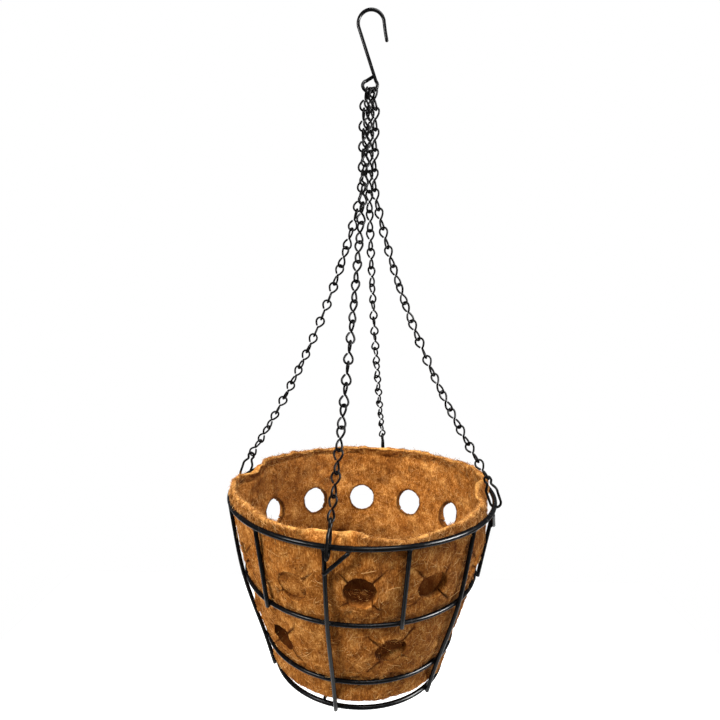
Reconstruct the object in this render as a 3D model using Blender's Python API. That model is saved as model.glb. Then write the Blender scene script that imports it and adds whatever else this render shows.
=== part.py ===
"""Hanging basket: a welded wire frame with a moulded coir liner, hung from a hook by four jack chains.

Metres, +Z up. The origin is where the hook bears on its support. Angles run from -Y (the front)
towards +X (the right).
"""
import math

import bpy
import bmesh
from mathutils import Matrix, Vector

# Hook: bend, shank and eye, bent from one wire
HOOK_WIRE = 0.0042
HOOK_BEND_RADIUS = 0.0139
HOOK_TIP_DROP = 0.021
HOOK_TIP_FLARE = 0.004
EYE_CENTRE_DROP = 0.086
EYE_HALF_WIDTH = 0.0092
EYE_HALF_HEIGHT = 0.0079
EYE_TAIL_OFFSET = 0.0047

# Jack chain: figure-eight links, each of two loops at right angles
LINK_WIRE = 0.0020
LINK_PITCH = 0.0247
LINK_HALF_WIDTH = 0.0052
LINKS_PER_CHAIN = 21
LINKS_PER_SEGMENT = 3
LINK_SECTION = 0.00112
LINK_BITE = 0.0017
LINK_SHIFT = 0.0004
EYE_LINK_STEP = 0.0028
BUNCH_RADIUS = 0.0076
FAN_ENTRY_SLOPE = 0.22
ROLL_WAVE = math.radians(28)

# Clips: bottle-shaped wire loops that hold the rim
CLIP_WIRE = 0.0020
CLIP_BEND_RADIUS = 0.0067
CLIP_LEG = 0.017
CLIP_NECK_HALF_WIDTH = 0.0026
CLIP_NECK_HEIGHT = 0.0245
CLIP_EYE_HALF_WIDTH = 0.0042
CLIP_HEIGHT = 0.0343
CLIP_LEAN = math.radians(21)
CLIP_FROM_UPRIGHT = 0.0052
CLIP_RIM_SIDE = -0.0016
CLIP_RIM_SEAT = -0.0021
FRONT_CLIP_SLACK = 0.008

# Frame: four hoops, long and short uprights, braces under the rim and a base cross
EYE_ABOVE_RIM = 0.513
RIM_RADIUS = 0.175
RIM_WIRE = 0.0055
HOOPS = {
    "upper_hoop": (0.1535, -0.0987, 0.0045),
    "lower_hoop": (0.1260, -0.1870, 0.0045),
    "base_ring": (0.1137, -0.2290, 0.0050),
}
UPRIGHT_WIRE = 0.0045
UPRIGHT_COUNT = 12
FIRST_UPRIGHT = math.radians(-12.84)
UPRIGHT_TAIL = 0.004
BRACE_WIRE = 0.0040
BRACE_DROP = 0.031
BRACE_RUN = 0.027
CROSS_WIRE = 0.0035
CROSS_ANGLE = math.radians(-21)

# Liner: moulded coir shell with round planting holes
LINER_WALL = 0.009
LINER_RISE = 0.0155
LINER_TOP_LEAN = 0.003
LINER_BASE_RADIUS = 0.1155
LINER_CORNER = 0.005
LINER_BULGE = 0.0022
LINER_COLUMNS = 48
CLIP_DENT_ROOT = 0.0068
CLIP_DENT_SLOPE = 0.28
DENT_FLAT = math.radians(5.5)
DENT_REACH = math.radians(15)
HOLE_RADIUS = 0.018
HOLE_SIDES = 12
UPPER_HOLES = 12
UPPER_HOLE_DROP = 0.064
UPPER_HOLE_TILT = 0.008
LOWER_HOLES = 6
LOWER_HOLE_DROP = 0.140
LOWER_HOLE_FIRST = math.radians(15)

SEAT_GAP = 0.0003

# Heights measured from the hook's bearing point
EYE_Z = -EYE_CENTRE_DROP - EYE_HALF_HEIGHT
RIM_Z = EYE_Z - EYE_ABOVE_RIM

# Chain name, upright that it hangs beside, side of that upright and place on the hook's eye
CHAINS = (
    ("left", 9, -1, -1.5),
    ("front", 0, 1, -0.5),
    ("back", 6, 1, 0.5),
    ("right", 3, -1, 1.5),
)


def clear_scene():
    """Remove every object that the file holds."""
    for old in list(bpy.data.objects):
        bpy.data.objects.remove(old, do_unlink=True)


def make_material(name, colour, roughness, metallic):
    """Return a Principled material of one colour."""
    material = bpy.data.materials.new(name)
    material.use_nodes = True
    shader = material.node_tree.nodes["Principled BSDF"]
    shader.inputs["Base Color"].default_value = (*colour, 1.0)
    shader.inputs["Roughness"].default_value = roughness
    shader.inputs["Metallic"].default_value = metallic
    material.diffuse_color = (*colour, 1.0)
    return material


def radial(angle):
    """Return the outward unit vector at an angle."""
    return Vector((math.sin(angle), -math.cos(angle), 0.0))


def polar(radius, angle, z):
    """Return the point at a radius, an angle and a height."""
    return radial(angle) * radius + Vector((0.0, 0.0, z))


def smooth_path(points, steps):
    """Return a Catmull-Rom path through the points."""
    ends = [points[0] * 2 - points[1], *points, points[-1] * 2 - points[-2]]
    path = []
    for a, b, c, d in zip(ends, ends[1:], ends[2:], ends[3:]):
        for step in range(steps):
            t = step / steps
            path.append(0.5 * (b * 2 + (c - a) * t + (a * 2 - b * 5 + c * 4 - d) * t ** 2
                               + (b * 3 - a - c * 3 + d) * t ** 3))
    path.append(points[-1])
    return path


def wire_object(name, points, section, sides, material, parent, cyclic=False):
    """Return a wire along the points, with 4, 6 or 8 sides."""
    curve = bpy.data.curves.new(name, "CURVE")
    curve.dimensions = "3D"
    curve.bevel_depth = section
    curve.bevel_resolution = (sides - 4) // 2
    curve.use_fill_caps = not cyclic
    curve.twist_mode = "MINIMUM"
    spline = curve.splines.new("POLY")
    spline.points.add(len(points) - 1)
    for slot, point in zip(spline.points, points):
        slot.co = (*(point - parent.location), 1.0)
    spline.use_cyclic_u = cyclic
    spline.use_smooth = True
    curve.materials.append(material)
    wire = bpy.data.objects.new(name, curve)
    bpy.context.scene.collection.objects.link(wire)
    wire.parent = parent
    return wire


def axis_empty(name, location):
    """Return an empty at a joint's place."""
    empty = bpy.data.objects.new(name, None)
    empty.empty_display_size = 0.02
    empty.location = location
    bpy.context.scene.collection.objects.link(empty)
    return empty


def hook_path():
    """Return the hook's wire from its tip over the bend and round the eye."""
    reach = HOOK_BEND_RADIUS + HOOK_WIRE / 2
    centre_z = HOOK_WIRE / 2 - reach
    path = [Vector((reach + HOOK_TIP_FLARE, 0.0, centre_z - HOOK_TIP_DROP))]
    path.append(Vector((reach + HOOK_TIP_FLARE * 0.4, 0.0, centre_z - HOOK_TIP_DROP * 0.45)))
    for step in range(15):
        angle = math.radians(4 + 188 * step / 14)
        path.append(Vector((reach * math.cos(angle), 0.0, centre_z + reach * math.sin(angle))))
    for step in range(19):
        angle = math.radians(38 - 280 * step / 18)
        tail = max(0.0, (step - 13) / 5)
        path.append(Vector((EYE_HALF_WIDTH * math.cos(angle), EYE_TAIL_OFFSET * tail,
                            EYE_HALF_HEIGHT * math.sin(angle) - EYE_CENTRE_DROP)))
    shank_end = path[17]
    path.append(Vector((shank_end.x - 0.002, EYE_TAIL_OFFSET, shank_end.z + 0.008)))
    return path


def eye_height(x):
    """Return the height of the eye's wire at a place along its bottom."""
    return -EYE_CENTRE_DROP - EYE_HALF_HEIGHT * math.sqrt(1.0 - (x / EYE_HALF_WIDTH) ** 2)


def upright_angle(index):
    """Return the angle of one upright."""
    return FIRST_UPRIGHT + 2 * math.pi * index / UPRIGHT_COUNT


def chain_angle(upright, side):
    """Return the angle of the chain that hangs beside an upright."""
    return upright_angle(upright) + side * CLIP_FROM_UPRIGHT / RIM_RADIUS


def frame_point(angle, height, outside):
    """Return a point of a clip's plane, from the rim's centre line."""
    return polar(RIM_RADIUS + outside, angle, RIM_Z + height)


def clip_point(angle, slack, across, along):
    """Return a point of a clip from its bend's centre, across to the outside and along to its eye."""
    side = across - CLIP_RIM_SIDE
    up = along - CLIP_RIM_SEAT - slack
    outside = side * math.cos(CLIP_LEAN) - up * math.sin(CLIP_LEAN)
    height = side * math.sin(CLIP_LEAN) + up * math.cos(CLIP_LEAN)
    return frame_point(angle, height, outside)


def clip_outline():
    """Return the clip's outline as across and along pairs, closed."""
    outline = []
    for step in range(7):
        angle = math.pi + math.pi * step / 6
        outline.append((CLIP_BEND_RADIUS * math.cos(angle), CLIP_BEND_RADIUS * math.sin(angle)))
    outline.append((CLIP_BEND_RADIUS, CLIP_LEG))
    outline.append((CLIP_NECK_HALF_WIDTH, CLIP_NECK_HEIGHT))
    eye_middle = (CLIP_NECK_HEIGHT + CLIP_HEIGHT) / 2
    outline.append((CLIP_EYE_HALF_WIDTH, eye_middle))
    outline.append((CLIP_EYE_HALF_WIDTH * 0.7, CLIP_HEIGHT - 0.0008))
    outline.append((0.0, CLIP_HEIGHT))
    outline.append((-CLIP_EYE_HALF_WIDTH * 0.7, CLIP_HEIGHT - 0.0008))
    outline.append((-CLIP_EYE_HALF_WIDTH, eye_middle))
    outline.append((-CLIP_NECK_HALF_WIDTH, CLIP_NECK_HEIGHT))
    outline.append((-CLIP_BEND_RADIUS, CLIP_LEG))
    return outline


def link_outline():
    """Return one link's wire, its upper loop across X and its lower loop across Y."""
    half = (LINK_PITCH + LINK_BITE) / 2
    wide = LINK_HALF_WIDTH
    half_loop = [(0.97, 0.62), (0.44, 1.0)]
    upper = [(wide * 0.42, half * 0.18)]
    upper += [(wide * across, half * along) for across, along in half_loop]
    upper += [(-wide * across, half * along) for across, along in reversed(half_loop)]
    path = [Vector((across, 0.0, along)) for across, along in upper]
    path.append(Vector((0.0, 0.0, 0.0)))
    path += [Vector((0.0, across, -along)) for across, along in reversed(upper)]
    return path


def chain_route(angle, eye_x, slack, bunch_end):
    """Return a chain's route from the eye, down the bunch and out along a slack curve to its clip."""
    overlap = LINK_BITE / 2 + LINK_SHIFT
    hang = Vector((eye_x, 0.0, eye_height(eye_x)))
    second = polar(BUNCH_RADIUS, angle, hang.z - LINK_PITCH + HOOK_WIRE / 2)
    seat = HOOK_WIRE / 2 + LINK_SECTION + SEAT_GAP * 3 - overlap
    start = hang + (hang - second).normalized() * seat
    eye_top = clip_point(angle, slack, 0.0, CLIP_HEIGHT)
    steepness = 2 * (eye_top.dot(radial(angle)) - BUNCH_RADIUS) / (bunch_end - eye_top.z) - FAN_ENTRY_SLOPE
    rise = (Vector((0.0, 0.0, 1.0)) - radial(angle) * steepness).normalized()
    foot = eye_top - rise * (CLIP_WIRE / 2 + LINK_SECTION + SEAT_GAP * 2 - overlap)
    foot_radius = foot.dot(radial(angle))
    fall = bunch_end - foot.z
    curve = (foot_radius - BUNCH_RADIUS - FAN_ENTRY_SLOPE * fall) / fall ** 2
    route = [start, second]
    for step in range(121):
        drop = fall * step / 120
        spread = FAN_ENTRY_SLOPE * drop + curve * drop ** 2
        route.append(polar(BUNCH_RADIUS + spread, angle, bunch_end - drop))
    return route


def route_length(route):
    """Return the length of a route."""
    return sum((b - a).length for a, b in zip(route, route[1:]))


def point_along(route, distance):
    """Return the point at a distance along a route."""
    for a, b in zip(route, route[1:]):
        length = (b - a).length
        if distance <= length:
            return a.lerp(b, distance / length)
        distance -= length
    return route[-1]


def chain_joints(angle, eye_x, slack):
    """Return the places where the links of one chain meet, from the eye to the clip."""
    wanted = LINKS_PER_CHAIN * LINK_PITCH
    low = RIM_Z + 0.2
    high = EYE_Z - LINK_PITCH * 1.5
    for _ in range(40):
        middle = (low + high) / 2
        if route_length(chain_route(angle, eye_x, slack, middle)) < wanted:
            high = middle
        else:
            low = middle
    route = chain_route(angle, eye_x, slack, middle)
    step = route_length(route) / LINKS_PER_CHAIN
    return [point_along(route, step * index) for index in range(LINKS_PER_CHAIN + 1)]


def link_matrix(top, bottom, across, roll, shift):
    """Return the place of one link between its two joints, its upper loop in the plane of across."""
    along = (top - bottom).normalized()
    side = (across - along * across.dot(along)).normalized()
    turn = Matrix((side, along.cross(side), along)).transposed().to_4x4()
    middle = (top + bottom) / 2 + along * shift
    return Matrix.Translation(middle) @ turn @ Matrix.Rotation(roll, 4, "Z")


def link_roll(chain, index):
    """Return a link's turn about its own length."""
    run = max(0.0, (index - 6) / (LINKS_PER_CHAIN - 7))
    wave = ROLL_WAVE * math.sin(run * math.pi * 3)
    quarter = math.pi / 2 * run if chain in ("left", "right") else 0.0
    return quarter + wave


def build_chain(chain, upright, side, place, material, parent):
    """Make one chain in segments of links that hang in each other."""
    angle = chain_angle(upright, side)
    slack = FRONT_CLIP_SLACK if chain == "front" else 0.0
    joints = chain_joints(angle, place * EYE_LINK_STEP, slack)
    across = Vector((0.0, 1.0, 0.0))
    outline = link_outline()
    links = []
    for index in range(LINKS_PER_CHAIN):
        shift = LINK_SHIFT * (1 - index % LINKS_PER_SEGMENT)
        place_of = link_matrix(joints[index], joints[index + 1], across, link_roll(chain, index), shift)
        links.append([place_of @ point for point in outline])
    for first in range(0, LINKS_PER_CHAIN, LINKS_PER_SEGMENT):
        number = first // LINKS_PER_SEGMENT + 1
        name = f"chain_{chain}_{number}"
        segment = wire_object(name, links[first], LINK_SECTION, 4, material, parent)
        bpy.context.view_layer.update()
        base = bpy.data.meshes.new_from_object(segment.evaluated_get(bpy.context.evaluated_depsgraph_get()))
        bpy.data.objects.remove(segment, do_unlink=True)
        segment = bpy.data.objects.new(name, base)
        bpy.context.scene.collection.objects.link(segment)
        segment.parent = parent
        for extra in range(1, LINKS_PER_SEGMENT):
            guide = wire_object(f"{name}_guide_{extra}", links[first + extra], LINK_SECTION, 4, material, parent)
            guide.hide_render = True
            guide.display_type = "WIRE"
            mesh = bpy.data.meshes.new_from_object(guide.evaluated_get(bpy.context.evaluated_depsgraph_get()))
            bpy.data.objects.remove(guide, do_unlink=True)
            guide = bpy.data.objects.new(f"{name}_guide_{extra}", mesh)
            bpy.context.scene.collection.objects.link(guide)
            guide.parent = parent
            guide.hide_render = True
            guide.display_type = "WIRE"
            union = segment.modifiers.new(f"link_{extra}", "BOOLEAN")
            union.operation = "UNION"
            union.solver = "EXACT"
            union.object = guide
    clip = [clip_point(angle, slack, across_by, along_by) for across_by, along_by in clip_outline()]
    wire_object(f"clip_{chain}", clip, CLIP_WIRE / 2, 6, material, parent, cyclic=True)


def hoop_points(radius, z, count):
    """Return the points of a hoop."""
    return [polar(radius, 2 * math.pi * step / count, z) for step in range(count)]


def upright_stations():
    """Return the radius and height of an upright's centre line under the rim and at each hoop."""
    stations = [(RIM_RADIUS, RIM_Z - RIM_WIRE / 2 - SEAT_GAP)]
    for radius, height, wire in HOOPS.values():
        stations.append((radius + wire / 2 + UPRIGHT_WIRE / 2 + SEAT_GAP, RIM_Z + height))
    return stations


def upright_path(angle, is_long):
    """Return one upright's path, from the rim's underside to its tail under its last hoop."""
    points = [polar(radius, angle, z) for radius, z in upright_stations()]
    path = smooth_path(points, 2) if is_long else points[:2]
    path[-1] = path[-1] + (path[-1] - path[-2]).normalized() * UPRIGHT_TAIL
    return path


def build_frame(material, parent):
    """Make the hoops and the uprights."""
    wire_object("rim", hoop_points(RIM_RADIUS, RIM_Z, 48), RIM_WIRE / 2, 6, material, parent, cyclic=True)
    for name, (radius, height, wire) in HOOPS.items():
        ring = hoop_points(radius, RIM_Z + height, 40)
        wire_object(name, ring, wire / 2, 6, material, parent, cyclic=True)
    for index in range(UPRIGHT_COUNT):
        is_long = index % 2 == 0
        kind = "long" if is_long else "short"
        path = upright_path(upright_angle(index), is_long)
        wire_object(f"upright_{kind}_{index // 2 + 1}", path, UPRIGHT_WIRE / 2, 6, material, parent)


def build_braces(material, parent):
    """Make the brace beside each chain, from its upright up to the rim's underside."""
    for chain, upright, side, _ in CHAINS:
        angle = upright_angle(upright)
        top, below = upright_path(angle, upright % 2 == 0)[:2]
        beside = top.lerp(below, (top.z - RIM_Z + BRACE_DROP) / (top.z - below.z))
        clear = (UPRIGHT_WIRE + BRACE_WIRE) / 2 + SEAT_GAP * 2
        low = beside + radial(angle) * clear
        high_angle = angle + side * BRACE_RUN / RIM_RADIUS
        high = polar(RIM_RADIUS, high_angle, RIM_Z - RIM_WIRE / 2 - BRACE_WIRE / 2 - SEAT_GAP)
        points = [low, low.lerp(high, 0.5), high]
        wire_object(f"brace_{chain}", points, BRACE_WIRE / 2, 6, material, parent)


def build_base_cross(material, parent):
    """Make the two wires that cross on the base ring, one bowed over the other."""
    radius, height, wire = HOOPS["base_ring"]
    rest = RIM_Z + height + (wire + CROSS_WIRE) / 2 + SEAT_GAP
    for number in range(2):
        angle = CROSS_ANGLE + number * math.pi / 2
        bow = number * (CROSS_WIRE + SEAT_GAP)
        points = []
        for step in range(9):
            run = step / 4 - 1
            lift = bow * math.cos(run * math.pi / 2) ** 2
            points.append(radial(angle) * (radius * run) + Vector((0.0, 0.0, rest + lift)))
        wire_object(f"base_cross_{number + 1}", points, CROSS_WIRE / 2, 6, material, parent)


def liner_base_height():
    """Return the height of the liner's underside, resting on the base cross."""
    _, height, wire = HOOPS["base_ring"]
    return height + wire / 2 + CROSS_WIRE * 2 + SEAT_GAP * 3


def liner_profile():
    """Return the liner's outer radius and height pairs, from the rim's top edge down to its base."""
    touch = [(RIM_RADIUS - RIM_WIRE / 2 - SEAT_GAP * 2, 0.0)]
    for radius, height, wire in list(HOOPS.values())[:2]:
        touch.append((radius - wire / 2 - SEAT_GAP * 2, height))
    profile = [(touch[0][0] - LINER_TOP_LEAN, LINER_RISE), (touch[0][0] - LINER_TOP_LEAN * 0.3, LINER_RISE * 0.45)]
    for (r0, z0), (r1, z1) in zip(touch, touch[1:]):
        for step in range(3):
            t = step / 3
            profile.append((r0 + (r1 - r0) * t + LINER_BULGE * math.sin(math.pi * t), z0 + (z1 - z0) * t))
    profile.append(touch[-1])
    corner = liner_base_height() + LINER_CORNER
    for step in range(4):
        turn = math.pi / 2 * step / 3
        profile.append((LINER_BASE_RADIUS + LINER_CORNER * math.cos(turn), corner - LINER_CORNER * math.sin(turn)))
    return profile


def clip_dent(angle, height):
    """Return how far a clip presses the liner's edge in at a place."""
    deepest = 0.0
    for _, upright, side, _ in CHAINS:
        away = abs((angle - chain_angle(upright, side) + math.pi) % (2 * math.pi) - math.pi)
        share = min(1.0, max(0.0, (DENT_REACH - away) / (DENT_REACH - DENT_FLAT)))
        deepest = max(deepest, share * share * (3 - 2 * share))
    fade = min(1.0, max(0.0, (height + 0.045) / 0.040))
    return deepest * (CLIP_DENT_ROOT * fade + CLIP_DENT_SLOPE * max(0.0, height))


def build_liner(material, parent):
    """Make the liner's shell and cut its planting holes."""
    profile = liner_profile()
    mesh = bpy.data.meshes.new("liner")
    bm = bmesh.new()
    outer = []
    inner = []
    for radius, height in profile:
        ring_out = []
        ring_in = []
        for column in range(LINER_COLUMNS):
            angle = 2 * math.pi * column / LINER_COLUMNS
            dented = radius - clip_dent(angle, height)
            raised = max(height, liner_base_height() + LINER_WALL)
            ring_out.append(bm.verts.new(polar(dented, angle, RIM_Z + height) - parent.location))
            ring_in.append(bm.verts.new(polar(dented - LINER_WALL, angle, RIM_Z + raised) - parent.location))
        outer.append(ring_out)
        inner.append(ring_in)
    for rings, flip in ((outer, False), (inner, True)):
        for upper, lower in zip(rings, rings[1:]):
            for a in range(LINER_COLUMNS):
                b = (a + 1) % LINER_COLUMNS
                corners = [upper[a], lower[a], lower[b], upper[b]]
                bm.faces.new(corners[::-1] if flip else corners)
    for a in range(LINER_COLUMNS):
        b = (a + 1) % LINER_COLUMNS
        bm.faces.new([outer[0][a], outer[0][b], inner[0][b], inner[0][a]])
    bm.faces.new(outer[-1][::-1])
    bm.faces.new(inner[-1])
    bmesh.ops.remove_doubles(bm, verts=bm.verts[:], dist=0.00001)
    bmesh.ops.recalc_face_normals(bm, faces=bm.faces[:])
    bm.to_mesh(mesh)
    bm.free()
    mesh.materials.append(material)
    mesh.shade_smooth()
    liner = bpy.data.objects.new("liner", mesh)
    bpy.context.scene.collection.objects.link(liner)
    liner.parent = parent
    rows = ((UPPER_HOLES, 0.0, UPPER_HOLE_DROP, UPPER_HOLE_TILT), (LOWER_HOLES, LOWER_HOLE_FIRST, LOWER_HOLE_DROP, 0.0))
    for row, (count, first, drop, tilt) in enumerate(rows):
        for index in range(count):
            angle = first + 2 * math.pi * index / count
            cut_planting_hole(liner, f"hole_{row}_{index}", angle, drop - tilt * math.cos(angle), parent)


def liner_radius(drop):
    """Return the liner's outer radius at a depth under the rim."""
    profile = liner_profile()
    for (r0, z0), (r1, z1) in zip(profile, profile[1:]):
        if z1 <= -drop <= z0:
            return r0 + (r1 - r0) * (z0 + drop) / (z0 - z1)
    return profile[-1][0]


def cut_planting_hole(liner, name, angle, drop, parent):
    """Cut one round planting hole square to the liner's wall."""
    step = HOLE_RADIUS / 2
    slope = (liner_radius(drop - step) - liner_radius(drop + step)) / (2 * step)
    outward = (radial(angle) - Vector((0.0, 0.0, slope))).normalized()
    bm = bmesh.new()
    place = Matrix.Translation(polar(liner_radius(drop) - LINER_WALL / 2, angle, RIM_Z - drop) - parent.location)
    turn = outward.to_track_quat("Z", "Y").to_matrix().to_4x4()
    bmesh.ops.create_cone(bm, cap_ends=True, segments=HOLE_SIDES, radius1=HOLE_RADIUS, radius2=HOLE_RADIUS,
                          depth=LINER_WALL * 3, matrix=place @ turn)
    mesh = bpy.data.meshes.new(name)
    bm.to_mesh(mesh)
    bm.free()
    cutter = bpy.data.objects.new(name, mesh)
    bpy.context.scene.collection.objects.link(cutter)
    cutter.parent = parent
    cutter.hide_render = True
    cutter.display_type = "WIRE"
    cut = liner.modifiers.new(name, "BOOLEAN")
    cut.operation = "DIFFERENCE"
    cut.solver = "EXACT"
    cut.object = cutter


def main():
    """Build the basket."""
    clear_scene()
    coated = make_material("black_coated_wire", (0.012, 0.012, 0.013), 0.32, 0.0)
    chain_wire = make_material("black_chain_wire", (0.014, 0.014, 0.015), 0.38, 0.2)
    coir = make_material("coir", (0.33, 0.15, 0.045), 0.95, 0.0)
    hook_axis = axis_empty("hook_axis", Vector((0.0, 0.0, 0.0)))
    swing_axis = axis_empty("swing_axis", Vector((0.0, 0.0, EYE_Z)))
    lift_axis = axis_empty("lift_axis", Vector((0.0, 0.0, RIM_Z)))
    wire_object("hook", hook_path(), HOOK_WIRE / 2, 8, coated, hook_axis)
    for chain, upright, side, place in CHAINS:
        build_chain(chain, upright, side, place, chain_wire, swing_axis)
    build_frame(coated, lift_axis)
    build_braces(coated, lift_axis)
    build_base_cross(coated, lift_axis)
    build_liner(coir, lift_axis)
    bpy.context.view_layer.update()


main()
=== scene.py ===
"""Hanging basket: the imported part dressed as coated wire, jack chain and a matted coir liner.

Metres, +Z up, in the part's own frame: the origin is where the hook bears on its support, and angles
run from -Y (the front) towards +X (the right).
"""

import logging
import math
from contextlib import contextmanager
from dataclasses import dataclass
from enum import Enum
from typing import Any, Callable, Iterator, Sequence

import bmesh
import bpy
import numpy as np
from mathutils import Matrix, Vector


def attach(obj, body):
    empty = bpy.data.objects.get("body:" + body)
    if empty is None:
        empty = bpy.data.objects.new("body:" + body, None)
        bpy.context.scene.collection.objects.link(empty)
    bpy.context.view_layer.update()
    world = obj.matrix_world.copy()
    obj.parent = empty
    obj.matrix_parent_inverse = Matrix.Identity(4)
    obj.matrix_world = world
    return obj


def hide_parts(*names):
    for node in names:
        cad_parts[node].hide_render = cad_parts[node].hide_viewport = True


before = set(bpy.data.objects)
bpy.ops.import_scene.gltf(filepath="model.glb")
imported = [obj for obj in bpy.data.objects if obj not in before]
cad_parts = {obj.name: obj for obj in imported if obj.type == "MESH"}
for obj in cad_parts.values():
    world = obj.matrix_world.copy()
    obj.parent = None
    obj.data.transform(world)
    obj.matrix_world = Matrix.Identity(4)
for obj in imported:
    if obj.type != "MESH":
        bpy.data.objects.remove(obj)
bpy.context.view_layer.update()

LOG = logging.getLogger("hanging_basket")

Pair = tuple[float, float]
Triple = tuple[float, float, float]

MM = 0.001
EYE_Z = -0.0939
RIM_Z = EYE_Z - 0.513
RIM_RADIUS = 0.175
RIM_WIRE = 0.0055
CROSS_WIRE = 0.0035
SEAT_GAP = 0.0003
UPRIGHT_COUNT = 12
FIRST_UPRIGHT = math.radians(-12.84)
# How far along the rim a clip hangs from its upright
CLIP_OFFSET = 0.0052
# How far the dipped plastic stands over the plain wire
COAT = 0.0003
# A wire's rounded end: depth and width in shares of its radius
WIRE_END = ((0.0, 0.55), (0.18, 0.84), (0.5, 1.0))
MERGE_DISTANCE = 0.00001
SMOOTH_ANGLE = math.radians(50)
WHITE = (1.0, 1.0, 1.0, 1.0)


class Body(Enum):
    """The part's moving bodies."""

    HOOK = "hook"
    SUSPENSION = "suspension"
    BASKET = "basket"


class Slot(Enum):
    """The record's material slots."""

    COATED = "black_coated_wire"
    CHAIN = "black_chain_wire"
    COIR = "coir"


class HoleState(Enum):
    """How far a planting hole's cut flaps stand open."""

    OPEN = "open"
    AJAR = "ajar"
    SHUT = "shut"


# Small helpers


def radial(angle: float) -> Vector:
    """Return the outward unit vector at an angle."""
    return Vector((math.sin(angle), -math.cos(angle), 0.0))


def tangent(angle: float) -> Vector:
    """Return the unit vector along a hoop at an angle."""
    return Vector((math.cos(angle), math.sin(angle), 0.0))


def polar(radius: float, angle: float, z: float) -> Vector:
    """Return the point at a radius, an angle and a height."""
    return radial(angle) * radius + Vector((0.0, 0.0, z))


def upright_angle(index: int) -> float:
    """Return the angle of one upright."""
    return FIRST_UPRIGHT + 2 * math.pi * index / UPRIGHT_COUNT


def wrapped(angle: Any) -> Any:
    """Return an angle, or an array of them, brought within half a turn of the front."""
    return (angle + math.pi) % (2 * math.pi) - math.pi


def smooth_step(low: Any, high: Any, value: Any) -> Any:
    """Return a soft step from 0 at low to 1 at high, for numbers and arrays."""
    t = np.clip((value - low) / (high - low), 0.0, 1.0)
    return t * t * (3 - 2 * t)


def smooth_path(points: Sequence[Vector], steps: int, closed: bool = False) -> list[Vector]:
    """Return a Catmull-Rom path through points.

    Args:
        points: the points that the path passes.
        steps: the pieces that each span is cut into.
        closed: whether the path returns to its first point.

    Returns:
        The path's points.
    """
    if closed:
        ends = [points[-1], *points, points[0], points[1]]
    else:
        ends = [points[0] * 2 - points[1], *points, points[-1] * 2 - points[-2]]
    path = []
    for a, b, c, d in zip(ends, ends[1:], ends[2:], ends[3:]):
        for step in range(steps):
            t = step / steps
            path.append(0.5 * (b * 2 + (c - a) * t + (a * 2 - b * 5 + c * 4 - d) * t ** 2
                               + (b * 3 - a - c * 3 + d) * t ** 3))
    if not closed:
        path.append(points[-1])
    return path


def straight_path(start: Vector, end: Vector, steps: int) -> list[Vector]:
    """Return the points of a straight path that is cut into steps."""
    return [start.lerp(end, step / steps) for step in range(steps + 1)]


def select_only(*pieces: bpy.types.Object) -> None:
    """Select these pieces alone, the first one active.

    Args:
        pieces: the pieces.
    """
    bpy.ops.object.select_all(action="DESELECT")
    for piece in pieces:
        piece.select_set(True)
    bpy.context.view_layer.objects.active = pieces[0]


@contextmanager
def editing_whole() -> Iterator[None]:
    """Hold the active piece in edit mode, with all of it selected."""
    bpy.ops.object.mode_set(mode="EDIT")
    bpy.ops.mesh.select_all(action="SELECT")
    yield
    bpy.ops.object.mode_set(mode="OBJECT")


def add_primitive(add: Callable[..., Any], **options: Any) -> bpy.types.Object:
    """Add a primitive, selected alone.

    Args:
        add: the operator that adds it.
        options: the operator's options.

    Returns:
        The primitive.
    """
    bpy.ops.object.select_all(action="DESELECT")
    add(**options)
    return bpy.context.view_layer.objects.active


def join_pieces(pieces: Sequence[bpy.types.Object], name: str) -> bpy.types.Object:
    """Join pieces into one.

    Args:
        pieces: the pieces.
        name: the joined piece's name.

    Returns:
        The joined piece.
    """
    select_only(*pieces)
    if len(pieces) > 1:
        bpy.ops.object.join()
    joined = bpy.context.view_layer.objects.active
    joined.name = name
    joined.data.name = name
    return joined


def add_mesh(name: str, points: np.ndarray, faces: list[list[int]]) -> bpy.types.Object:
    """Make a piece from points and faces, and select it alone.

    Args:
        name: the piece's name.
        points: its points.
        faces: for each face the numbers of its points.

    Returns:
        The piece.
    """
    mesh = bpy.data.meshes.new(name)
    mesh.from_pydata(points.tolist(), [], faces)
    piece = bpy.data.objects.new(name, mesh)
    bpy.context.scene.collection.objects.link(piece)
    select_only(piece)
    return piece


def read_points(mesh: bpy.types.Mesh) -> np.ndarray:
    """Return a mesh's points.

    Args:
        mesh: the mesh.

    Returns:
        The points, one to a row.
    """
    points = np.empty(len(mesh.vertices) * 3)
    mesh.vertices.foreach_get("co", points)
    return points.reshape(-1, 3)


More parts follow.
